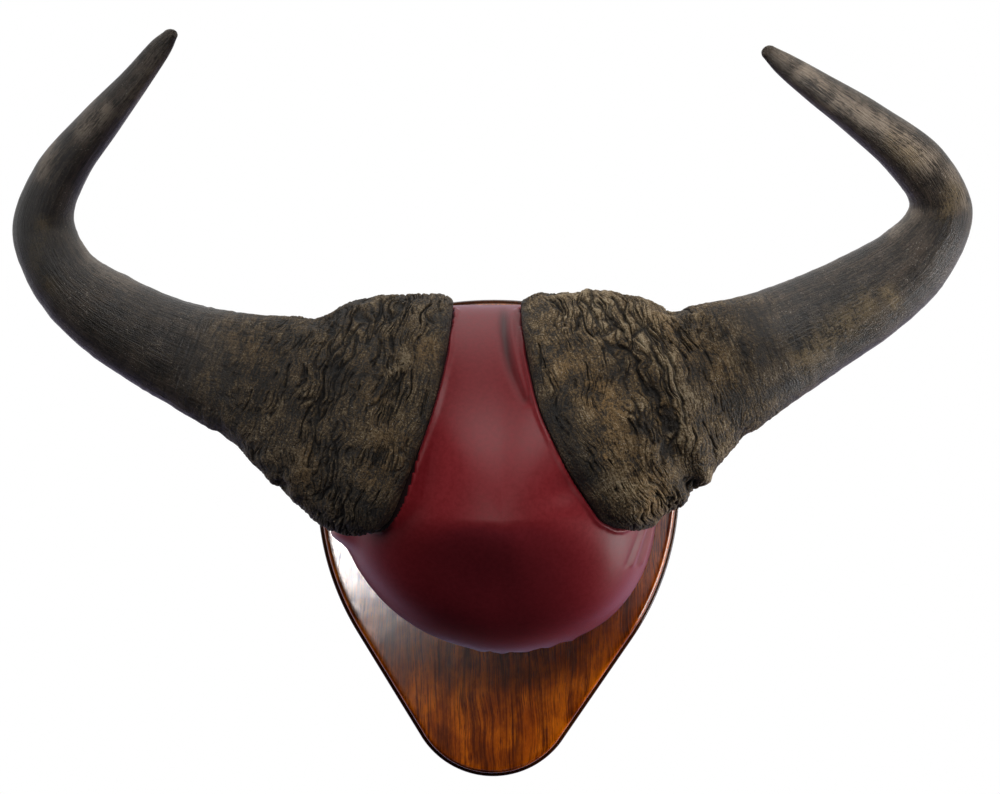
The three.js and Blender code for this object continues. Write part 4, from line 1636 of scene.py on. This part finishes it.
@dataclass
class Shield:
    """The wall shield: a board with a moulded edge, recessed at the back for its hanger.

    Sizes are in millimetres. 'moulding' runs from the back edge to the face, as rows of inset
    and depth; the figure marks hold the knots and streaks of the board, and painted shadow
    of the hide along its top and under its hem.
    """

    node: str = "shield_plaque"
    top: float = 246.0
    bottom: float = -249.0
    half_width: float = 188.0
    widest_height: float = 50.0
    tip_radius: float = 88.0
    flank_angle: float = math.radians(33)
    upper_side_radius: float = 900.0
    upper_side_angle: float = math.radians(7.2)
    shoulder_radius: float = 70.0
    roll: float = math.radians(1.5)
    thickness: float = 22.0
    moulding: tuple[Pair, ...] = (
        (2.0, 0.0), (0.6, 0.5), (0.0, 2.0), (0.0, 8.6), (0.4, 10.4), (1.3, 11.6), (2.8, 12.3),
        (3.5, 12.7), (3.9, 13.8), (4.2, 15.6), (4.6, 18.0), (5.1, 19.3), (5.6, 20.05),
        (5.8, 20.3), (7.0, 21.5), (7.2, 21.65), (7.8, 21.95), (8.4, 22.0), (12.0, 22.0),
    )
    # Knots and streaks; the two broad marks under the hide's hem and the long one along its top are
    # painted shadow.
    figure_and_painted_shade: Sequence[Mark] = mark_rows(
        (8, 0.75, (96, -111), (108, -100)), (8, 0.8, (-84, -120), (-60, -124)),
        (1.3, 0.9, (104, -94), (113, -117)), (1.2, 0.8, (123, -94), (113, -117)),
        (0.9, 1, (-107, -112), (-110, -126), (-108, -140), (-112, -154)),
        (2.5, 0.7, (30, -132), (36, -140)), (1.6, 0.6, (6, -150), (16, -185), (22, -225)),
        (1.3, 0.5, (56, -150), (48, -190), (50, -220)), (12, 1, (-60, 243), (5, 247), (70, 241)),
    )

    def outline(self, inset: float) -> Array:
        """Draw the outline, five tangent arcs a side.

        Args:
            inset: How far in from the edge it runs, in millimetres.

        Returns:
            The outline's points in millimetres, on the shield's own axes.
        """
        flank, shoulder = -self.flank_angle, self.upper_side_angle
        tip = (0.0, self.bottom + self.tip_radius)
        reach = math.sin(flank) * (tip[1] - self.widest_height) + self.tip_radius
        flank_radius = (reach - math.cos(flank) * self.half_width) / (1 - math.cos(flank))
        side = (self.half_width - self.upper_side_radius, self.widest_height)
        inner = self.upper_side_radius - self.shoulder_radius
        corner = (side[0] + inner * math.cos(shoulder), side[1] + inner * math.sin(shoulder))
        drop = corner[1] - self.top
        top_radius = ((self.shoulder_radius**2 - corner[0] ** 2 - drop**2)
                      / (2 * (drop + self.shoulder_radius)))
        crest = math.atan2(corner[1] - (self.top - top_radius), corner[0])
        arcs = (
            (tip, self.tip_radius, -math.pi / 2, flank, 26),
            ((self.half_width - flank_radius, self.widest_height), flank_radius, flank, 0.0, 26),
            (side, self.upper_side_radius, 0.0, shoulder, 12),
            (corner, self.shoulder_radius, shoulder, crest, 22),
            ((0.0, self.top - top_radius), top_radius, crest, math.pi / 2, 14),
        )
        half = []
        for (cx, cz), radius, start, stop, steps in arcs:
            for turn in np.linspace(start, stop, steps, endpoint=False):
                half.append((cx + (radius - inset) * math.cos(turn),
                             cz + (radius - inset) * math.sin(turn)))
        half.append((0.0, self.top - inset))
        mirrored = [(-x, z) for x, z in reversed(half[1:-1])]
        return np.asarray(half + mirrored)

    def turn(self, x: Array, z: Array) -> tuple[Array, Array]:
        """Turn points on the wall's plane by the shield's roll."""
        cos, sin = math.cos(self.roll), math.sin(self.roll)
        return x * cos + z * sin, -x * sin + z * cos

    def build(self, hanger: "Hanger", screws: "Screws", finish: Material,
              bare: Material) -> Thing:
        """Build the board, cut its recesses and dress it.

        Args:
            hanger: The hanger let into its back.
            screws: The screws driven through it.
            finish: The varnished wood of its face and edge.
            bare: The plain wood of its back and recesses.

        Returns:
            The finished piece.
        """
        rings = []
        for inset, depth in self.moulding:
            ring = self.outline(inset)
            x, z = self.turn(ring[:, 0], ring[:, 1])
            rings.append(np.stack([x * MM, np.full(len(x), -depth * MM), z * MM], 1))
        sides = len(rings[0])
        inner = self.outline(self.moulding[-1][0])
        for share in (0.93, 0.8, 0.6, 0.35):
            x, z = self.turn(inner[:, 0] * share, inner[:, 1] * share)
            rings.append(np.stack([x * MM, np.full(len(x), -self.thickness * MM), z * MM], 1))
        points = np.vstack(rings + [np.array([[0, -self.thickness * MM, 0]])])
        faces = ring_faces(len(rings), sides)
        last = len(points) - 1
        tail = last - sides
        faces += [(last, tail + i, tail + (i + 1) % sides) for i in range(sides)]
        faces.append(tuple(range(sides - 1, -1, -1)))
        made = make_object("shield_board", points, faces)
        cut_away(made, self.placed(self.recesses(hanger, screws), "recesses"))
        self.mark(made.data)
        made.data.set_sharp_from_angle(angle=math.radians(40))
        dress(made, finish, "varnished_wood", self.node)
        self.leave_bare(made.data, bare)
        return made

    def leave_bare(self, mesh: Mesh, bare: Material) -> None:
        """Give the back and the recesses, all that isn't face or edge, the plain wood.

        Args:
            mesh: The board, changed in place.
            bare: The plain wood.
        """
        mesh.materials.append(bare)
        ring = np.stack(self.turn(*self.outline(0).T), 1)
        rim = Mark(np.vstack([ring, ring[:1]]), 12, 1.0)
        place = np.array([polygon.center for polygon in mesh.polygons])
        inside = rim.weight(place[:, 0], place[:, 2]) < math.exp(-1)
        inside &= place[:, 1] > -0.97 * self.thickness * MM
        for polygon, cut in zip(mesh.polygons, inside):
            polygon.material_index = int(cut or polygon.normal.y > 0.9)

    @staticmethod
    def recesses(hanger: "Hanger", screws: "Screws") -> BMesh:
        """Shape everything that is cut out of the board's back.

        Args:
            hanger: The hanger let into it.
            screws: The screws driven through it.

        Returns:
            The recesses in millimetres, on the shield's own axes.
        """
        work = bmesh.new()
        oblong(work, hanger.length + 0.6, hanger.width + 0.6, (0, hanger.height), -1, 2.6)
        oblong(work, 24, 18, (0, hanger.height), 2.0, 10)
        for place in hanger.screw_places():
            drum(work, 1.9, place, 2.0, 17)
        for place in screws.places:
            drum(work, 8.5, place, -1, 7)
            drum(work, 3.3, place, 6, 23)
        return work

    def placed(self, work: BMesh, name: str) -> Thing:
        """Make an object from a shape in millimetres on the shield's own axes.

        Args:
            work: The shape, freed afterwards.
            name: The object's name.

        Returns:
            The object, in metres and in its place on the wall.
        """
        for v in work.verts:
            x, z = self.turn(v.co.x, v.co.z)
            v.co = Vector((x, v.co.y, z)) * MM
        bmesh.ops.recalc_face_normals(work, faces=work.faces)
        mesh = bpy.data.meshes.new(name)
        work.to_mesh(mesh)
        work.free()
        made = bpy.data.objects.new(name, mesh)
        bpy.context.scene.collection.objects.link(made)
        return made

    def mark(self, mesh: Mesh) -> None:
        """Store where the dark moulding, the grain's marks and the painted shadow by the hide lie.

        Args:
            mesh: The board, changed in place.
        """
        points = vertices(mesh)
        x, z = points[:, 0] / MM, points[:, 2] / MM
        depth = -points[:, 1] / MM
        store(mesh, "moulding", 1 - smoothstep(13.6, 18.5, depth))
        figure_and_painted_shade = strongest(self.figure_and_painted_shade, x * MM, z * MM)
        store(mesh, "figure_and_painted_shade", figure_and_painted_shade * smoothstep(16.5, 18, depth))


def oblong(work: BMesh, length: float, width: float, centre: Pair,
           near: float, far: float) -> None:
    """Add a round-ended bar, in millimetres.

    Args:
        work: The shape that it is added to.
        length: Its length across.
        width: Its width.
        centre: Its middle.
        near: The depth where it starts.
        far: The depth where it ends.
    """
    radius, straight = width / 2, length / 2 - width / 2
    turns = np.linspace(-math.pi / 2, math.pi / 2, 17)
    end = [(straight + radius * math.cos(turn), radius * math.sin(turn)) for turn in turns]
    ring = [(centre[0] + side * x, centre[1] + side * z) for side in (1, -1) for x, z in end]
    prism(work, ring, near, far)


def drum(work: BMesh, radius: float, centre: Pair,
         near: float, far: float, far_radius: float | None = None) -> None:
    """Add a round bar or a cone, in millimetres.

    Args:
        work: The shape that it is added to.
        radius: Its radius.
        centre: Its middle.
        near: The depth where it starts.
        far: The depth where it ends.
        far_radius: The radius of its far end, where that differs.
    """
    turns = np.linspace(0, FULL_TURN, 32, endpoint=False)
    ring = np.stack([np.cos(turns), np.sin(turns)], 1)
    end = radius if far_radius is None else far_radius
    prism(work, centre + ring * radius, near, far, centre + ring * end)


def prism(work: BMesh, ring: Sequence[Pair],
          near: float, far: float, end: Sequence[Pair] | None = None) -> None:
    """Add a closed prism over an outline, in millimetres.

    Args:
        work: The shape that it is added to.
        ring: The outline.
        near: The depth where it starts.
        far: The depth where it ends.
        end: The outline of its far end, where that differs.
    """
    low = [work.verts.new((x, -near, z)) for x, z in ring]
    high = [work.verts.new((x, -far, z)) for x, z in (ring if end is None else end)]
    work.faces.new(low)
    work.faces.new(list(reversed(high)))
    for i in range(len(ring)):
        j = (i + 1) % len(ring)
        work.faces.new((low[i], high[i], high[j], low[j]))


def cut_away(made: Thing, cutter: Thing) -> None:
    """Cut one object out of another.

    Args:
        made: The object that is cut.
        cutter: The object cut out of it, removed afterwards.
    """
    cut = made.modifiers.new("cut", "BOOLEAN")
    cut.object, cut.solver, cut.operation = cutter, "EXACT", "DIFFERENCE"
    bake_modifiers(made)
    bpy.data.objects.remove(cutter)


@dataclass(frozen=True)
class Hanger:
    """The keyhole hanger let into the shield's back. Sizes in millimetres."""

    node: str = "hanger_plate"
    height: float = 185.0
    length: float = 64.0
    width: float = 22.0
    depths: Pair = (0.3, 2.3)
    spacing: float = 46.0
    entry_radius: float = 4.5
    entry_drop: float = 3.0
    slot_half_width: float = 2.2
    slot_rise: float = 9.0
    countersink: Pair = (4.0, 2.02)
    arris: float = 0.3

    def screw_places(self) -> tuple[Pair, ...]:
        """Return where its two screws go."""
        return (-self.spacing / 2, self.height), (self.spacing / 2, self.height)

    def build(self, shield: Shield, finish: Material) -> Thing:
        """Build the plate with its keyhole and countersinks, and dress it.

        Args:
            shield: The shield that it is let into.
            finish: The plate's metal.

        Returns:
            The finished piece.
        """
        blank, holes, slot = bmesh.new(), bmesh.new(), bmesh.new()
        oblong(blank, self.length, self.width, (0, self.height), *self.depths)
        drum(holes, self.entry_radius, (0, self.height - self.entry_drop), -1, 4)
        for place in self.screw_places():
            drum(holes, self.countersink[0], place, 0, 2.2, self.countersink[1])
            drum(holes, self.countersink[1], place, 2.15, 4)
        half = self.slot_half_width
        foot = self.height - self.entry_drop
        crown = foot + self.slot_rise
        turns = np.linspace(0, math.pi, 17)
        arch = [(half * math.cos(a), crown + half * math.sin(a)) for a in turns]
        prism(slot, [(-half, foot), (half, foot), *arch], -1, 4)
        made = shield.placed(blank, "keyhole_plate")
        cut_away(made, shield.placed(holes, "holes"))
        cut_away(made, shield.placed(slot, "slot"))
        bevel = made.modifiers.new("arris", "BEVEL")
        bevel.width, bevel.segments, bevel.limit_method = self.arris * MM, 2, "ANGLE"
        bake_modifiers(made)
        made.data.shade_smooth()
        made.data.set_sharp_from_angle(angle=math.radians(32))
        return dress(made, finish, "hanger_steel", self.node)


class Drive(Enum):
    """The recess in a screw's head."""

    SLOT = "slot"
    CROSS = "cross"


@dataclass(frozen=True)
class Screws:
    """Wood screws of one size, driven in from the shield's back. Sizes in millimetres.

    Each is shaped from a grid: one side goes round the screw, the other runs from the middle
    of its head to its point.
    """

    name: str
    nodes: tuple[str, ...]
    places: tuple[Pair, ...]
    sunk: float
    head_radius: float
    shank_radius: float
    head_height: float
    head_edge: float
    length: float
    pitch: float
    thread_start: float
    drive: Drive
    sides: int = 48
    rows: int = 280

    def tree(self) -> GeometryTree:
        """Build the tree that sets one screw at each point, each turned its own way.

        Returns:
            The tree, its inputs set to this size's measures.
        """
        tree = GeometryTree(f"{self.name}_tree", {
            "Head Radius": self.head_radius * MM, "Shank Radius": self.shank_radius * MM,
            "Head Height": self.head_height * MM, "Head Edge": self.head_edge * MM,
            "Length": self.length * MM, "Pitch": self.pitch * MM,
            "Thread Start": self.thread_start * MM, "Thread Depth": 0.3 * self.shank_radius * MM,
            "Recess Width": 0.15 * self.head_radius * MM,
            "Recess Reach": (0.62 if self.drive is Drive.CROSS else 1.2) * self.head_radius * MM,
            "Recess Depth": 0.4 * self.head_height * MM,
        })
        g = tree.graph
        grid = g.node("GeometryNodeMeshGrid", {
            "Size X": 1.0, "Size Y": 1.0, "Vertices X": self.sides + 1, "Vertices Y": self.rows,
        }).outputs[0]
        u, v, _ = g.split(g.node("GeometryNodeInputPosition").outputs[0])
        around, along = g.plus(u, 0.5), g.plus(v, 0.5)
        face, rim, cone, shank, point = (
            g.remap(along, low, high, smooth=False)
            for low, high in ((0, 0.16), (0.16, 0.22), (0.22, 0.27), (0.27, 0.96), (0.96, 1))
        )
        quarter = g.times(rim, math.pi / 2)
        head, edge, core = tree["Head Radius"], tree["Head Edge"], tree["Shank Radius"]
        shoulder = g.minus(tree["Length"], g.times(core, 3.0))
        down = g.plus(
            g.times(edge, g.minus(1.0, g.math("COSINE", quarter))),
            g.times(g.minus(tree["Head Height"], edge), cone),
            g.times(g.minus(shoulder, tree["Head Height"]), shank),
            g.times(g.minus(tree["Length"], shoulder), point),
        )
        radius = g.times(head, g.plus(g.times(face, 0.7), g.times(g.math("SINE", quarter), 0.3)))
        radius = g.minus(radius, g.times(g.minus(head, core), cone))
        radius = g.minus(radius, g.times(core, point))
        wave = g.math("FRACT", g.minus(g.math("DIVIDE", down, tree["Pitch"]), around))
        valley = g.math("POWER", g.math("ABSOLUTE", g.minus(g.times(wave, 2.0), 1.0)), 0.6)
        start = tree["Thread Start"]
        threaded = g.times(g.remap(down, start, g.plus(start, tree["Pitch"])), g.minus(1.0, point))
        radius = g.minus(radius, g.times(tree["Thread Depth"], threaded, valley))
        turn = g.times(around, FULL_TURN)
        x, z = g.times(radius, g.math("COSINE", turn)), g.times(radius, g.math("SINE", turn))

        def bar(lengthwise: object, crosswise: object) -> object:
            """Return 1 inside one arm of the recess, 0 outside it."""
            width, reach = tree["Recess Width"], tree["Recess Reach"]
            inside = g.remap(g.math("ABSOLUTE", crosswise), g.times(width, 0.75), width, 1.0, 0.0)
            short = g.remap(g.math("ABSOLUTE", lengthwise), g.times(reach, 0.9), reach, 1.0, 0.0)
            return g.times(inside, short)

        recess = bar(x, z)
        if self.drive is Drive.CROSS:
            recess = g.math("MAXIMUM", recess, bar(z, x))
        down = g.plus(down, g.times(tree["Recess Depth"], recess, g.minus(1.0, cone)))
        turned = g.node("GeometryNodeSetPosition", {
            "Geometry": grid, "Position": g.join(x, g.times(down, -1.0), z),
        }).outputs[0]
        closed = g.node("GeometryNodeMergeByDistance", {"Geometry": turned, "Distance": 1e-6})
        spin = g.node("FunctionNodeRandomValue", {0: (0, 0, 0), 1: (0, FULL_TURN, 0), "Seed": 5},
                      data_type="FLOAT_VECTOR").outputs[0]
        placed = g.node("GeometryNodeInstanceOnPoints", {
            "Points": tree["Geometry"], "Instance": closed.outputs[0],
            "Rotation": g.node("FunctionNodeEulerToRotation", {0: spin}).outputs[0],
        })
        tree.close(placed.outputs[0])
        return tree

    def build(self, shield: Shield, finish: Material) -> Thing:
        """Build the screws of this size and dress them as one piece.

        Args:
            shield: The shield that they are driven into.
            finish: Their metal.

        Returns:
            The finished piece.
        """
        heads = bmesh.new()
        for x, z in self.places:
            heads.verts.new((x, -self.sunk, z))
        made = self.tree().run(shield.placed(heads, self.name), finish)
        face_outwards(made.data)
        made.data.shade_smooth()
        made.data.set_sharp_from_angle(angle=math.radians(35))
        return dress(made, finish, "screw_steel", *self.nodes)


def hanger_screws(hanger: Hanger) -> Screws:
    """Return the two slotted screws that hold the hanger."""
    return Screws(
        "hanger_screws", ("hanger_screw_1", "hanger_screw_2"), hanger.screw_places(),
        sunk=0.3, head_radius=3.3, shank_radius=1.6, head_height=1.9, head_edge=0.2,
        length=15, pitch=1.3, thread_start=4.5, drive=Drive.SLOT,
    )


def block_screws() -> Screws:
    """Return the three screws that hold the block to the shield."""
    return Screws(
        "block_screws", ("block_screw_1", "block_screw_2", "block_screw_3"),
        ((0, 120), (-70, -30), (70, -30)),
        sunk=2.1, head_radius=6.5, shank_radius=3.0, head_height=4.6, head_edge=4.3,
        length=58, pitch=2.7, thread_start=24, drive=Drive.CROSS,
    )


# ---- studio


@dataclass(frozen=True)
class Softbox:
    """A rectangular light, in metres and watts, turned to its target."""

    name: str
    place: Point
    target: Point
    size: Pair
    power: float
    colour: Colour = (1.0, 1.0, 1.0)
    lights_matt: bool = True

    def hang(self) -> None:
        """Hang the light; one that doesn't light matt surfaces shows only in their gloss."""
        data = bpy.data.lights.new(self.name, "AREA")
        data.shape, data.size, data.size_y = "RECTANGLE", *self.size
        data.energy, data.color = self.power, self.colour
        light = bpy.data.objects.new(self.name, data)
        light.location = self.place
        way = Vector(self.target) - Vector(self.place)
        light.rotation_euler = way.to_track_quat("-Z", "Y").to_euler()
        light.visible_diffuse = self.lights_matt
        bpy.context.scene.collection.objects.link(light)


WARM = (1.0, 0.92, 0.90)
COOL = (0.75, 0.66, 1.0)

SOFTBOXES = (
    Softbox("front_overhead", (0.6, -1.66, 1.60), (0, 0, 0.1), (2.3, 0.75), 33),
    Softbox("top", (0.2, 0.15, 2.3), (0, 0, 0.1), (2.2, 1), 8),
    Softbox("left_strip", (-1.7, -0.5, 0.4), (0, 0, 0.2), (0.5, 1.2), 6),
    Softbox("left_window", (-0.345, -3.15, -0.10), (-0.345 * 0.43, 0, -0.02), (0.20, 0.30),
            13, WARM, False),
    Softbox("right_window", (0.36, -3.15, -0.10), (0.36 * 0.43, 0, -0.02), (0.20, 0.30),
            0.6, WARM, False),
    Softbox("low_right", (1.55, -1.35, -0.40), (0.1, 0, -0.05), (0.6, 0.9), 1.4),
    Softbox("low_front", (0, -1.5, -1.7), (0, 0, -0.05), (1.8, 0.9), 2.5, COOL, False),
    Softbox("right_strip", (1.7, 0.1, -0.45), (0, 0, 0), (0.5, 1.1), 18),
)


@dataclass
class Studio:
    """Camera, floor and lights. The camera looks straight at the trophy, level."""

    camera_place: Point = (3 * MM, -3.0, 0.145)
    lens: float = 103.68
    sensor: float = 36.0
    floor_height: float = -2.4
    floor_middle: float = 0.5
    floor_radius: float = 1.6

    def build(self) -> None:
        """Build the camera, the floor, the world and the lights."""
        data = bpy.data.cameras.new("camera")
        data.lens, data.sensor_width, data.clip_end = self.lens, self.sensor, 50
        camera = bpy.data.objects.new("camera", data)
        camera.location = self.camera_place
        camera.rotation_euler = (math.pi / 2, 0, 0)
        bpy.context.scene.collection.objects.link(camera)
        bpy.context.scene.camera = camera
        self.floor()
        self.world()
        for softbox in SOFTBOXES:
            softbox.hang()
        scene = bpy.context.scene
        scene.view_settings.view_transform = "Standard"
        scene.view_settings.look = "None"

    def floor(self) -> None:
        """Lay a plain pale floor well below the trophy, fading into the white room."""
        turns = np.linspace(0, FULL_TURN, 96, endpoint=False)
        ring = [(self.floor_radius * math.cos(a), self.floor_radius * math.sin(a)
                 + self.floor_middle, self.floor_height) for a in turns]
        made = make_object("floor", np.asarray(ring), [tuple(range(len(ring)))], smooth=False)
        s = Surface("pale_floor")
        g = s.graph
        x, y, _ = g.split(s.place)
        flat = g.join(x, g.minus(y, self.floor_middle), 0.0)
        reach = g.node("ShaderNodeVectorMath", {0: flat}, operation="LENGTH").outputs["Value"]
        # The floor glows white towards its rim instead of being lit there, so that it fades into
        # the white world.
        fade = g.remap(reach, 0.15 * self.floor_radius, 0.97 * self.floor_radius)
        s.set(Base_Color=g.mix(fade, (0.7, 0.7, 0.7), (0.0, 0.0, 0.0)), Roughness=0.8,
              Specular_IOR_Level=0.0, Emission_Color=(1.0, 1.0, 1.0), Emission_Strength=fade)
        made.data.materials.append(s.material)
        made.visible_glossy = made.visible_diffuse = False

    @staticmethod
    def world() -> None:
        """Light the room with soft white, and show plain white behind the trophy."""
        world = bpy.data.worlds.new("studio")
        bpy.context.scene.world = world
        world.use_nodes = True
        tree = world.node_tree
        tree.nodes.clear()
        g = Graph(tree)
        seen = g.node("ShaderNodeBackground", {"Color": (1, 1, 1, 1), "Strength": 1.0})
        _, ahead, up = g.split(g.node("ShaderNodeTexCoord").outputs["Generated"])
        above = g.remap(g.plus(up, g.times(ahead, 0.9)), -0.40, 0.60, 0.02, 1.0)
        behind = g.remap(ahead, -0.35, 0.45, 0.06, 1.0)
        cool = g.mix(g.remap(up, -0.45, 0.0), (0.74, 0.66, 1.0), (1.0, 1.0, 1.0))
        ambient = g.node("ShaderNodeBackground", {
            "Color": cool, "Strength": g.times(above, behind),
        })
        ray = g.node("ShaderNodeLightPath").outputs["Is Camera Ray"]
        both = g.node("ShaderNodeMixShader", {0: ray, 1: ambient.outputs[0], 2: seen.outputs[0]})
        g.node("ShaderNodeOutputWorld", {0: both.outputs[0]})


# ---- assembly


def main() -> None:
    """Build the studio and every piece of the trophy, in order."""
    logging.basicConfig(level=logging.INFO, format="%(name)s: %(message)s")
    Studio().build()
    dome = Dome()
    horn_finish = HornFinish().make()
    horns = [horn.build(dome, horn_finish) for horn in (left_horn(), right_horn())]
    LeatherCover().build(dome, horns, LeatherFinish().make())
    plain_wood = PlainWood().make()
    ForeheadBlock().build(dome, plain_wood)
    hanger, shield, screws = Hanger(), Shield(), block_screws()
    shield.build(hanger, screws, VarnishedWood().make(), plain_wood)
    zinc = ZincFinish("zinc_plate").make()
    hanger.build(shield, zinc)
    for kind in (hanger_screws(hanger), screws):
        kind.build(shield, zinc)


if __name__ == "__main__":
    main()
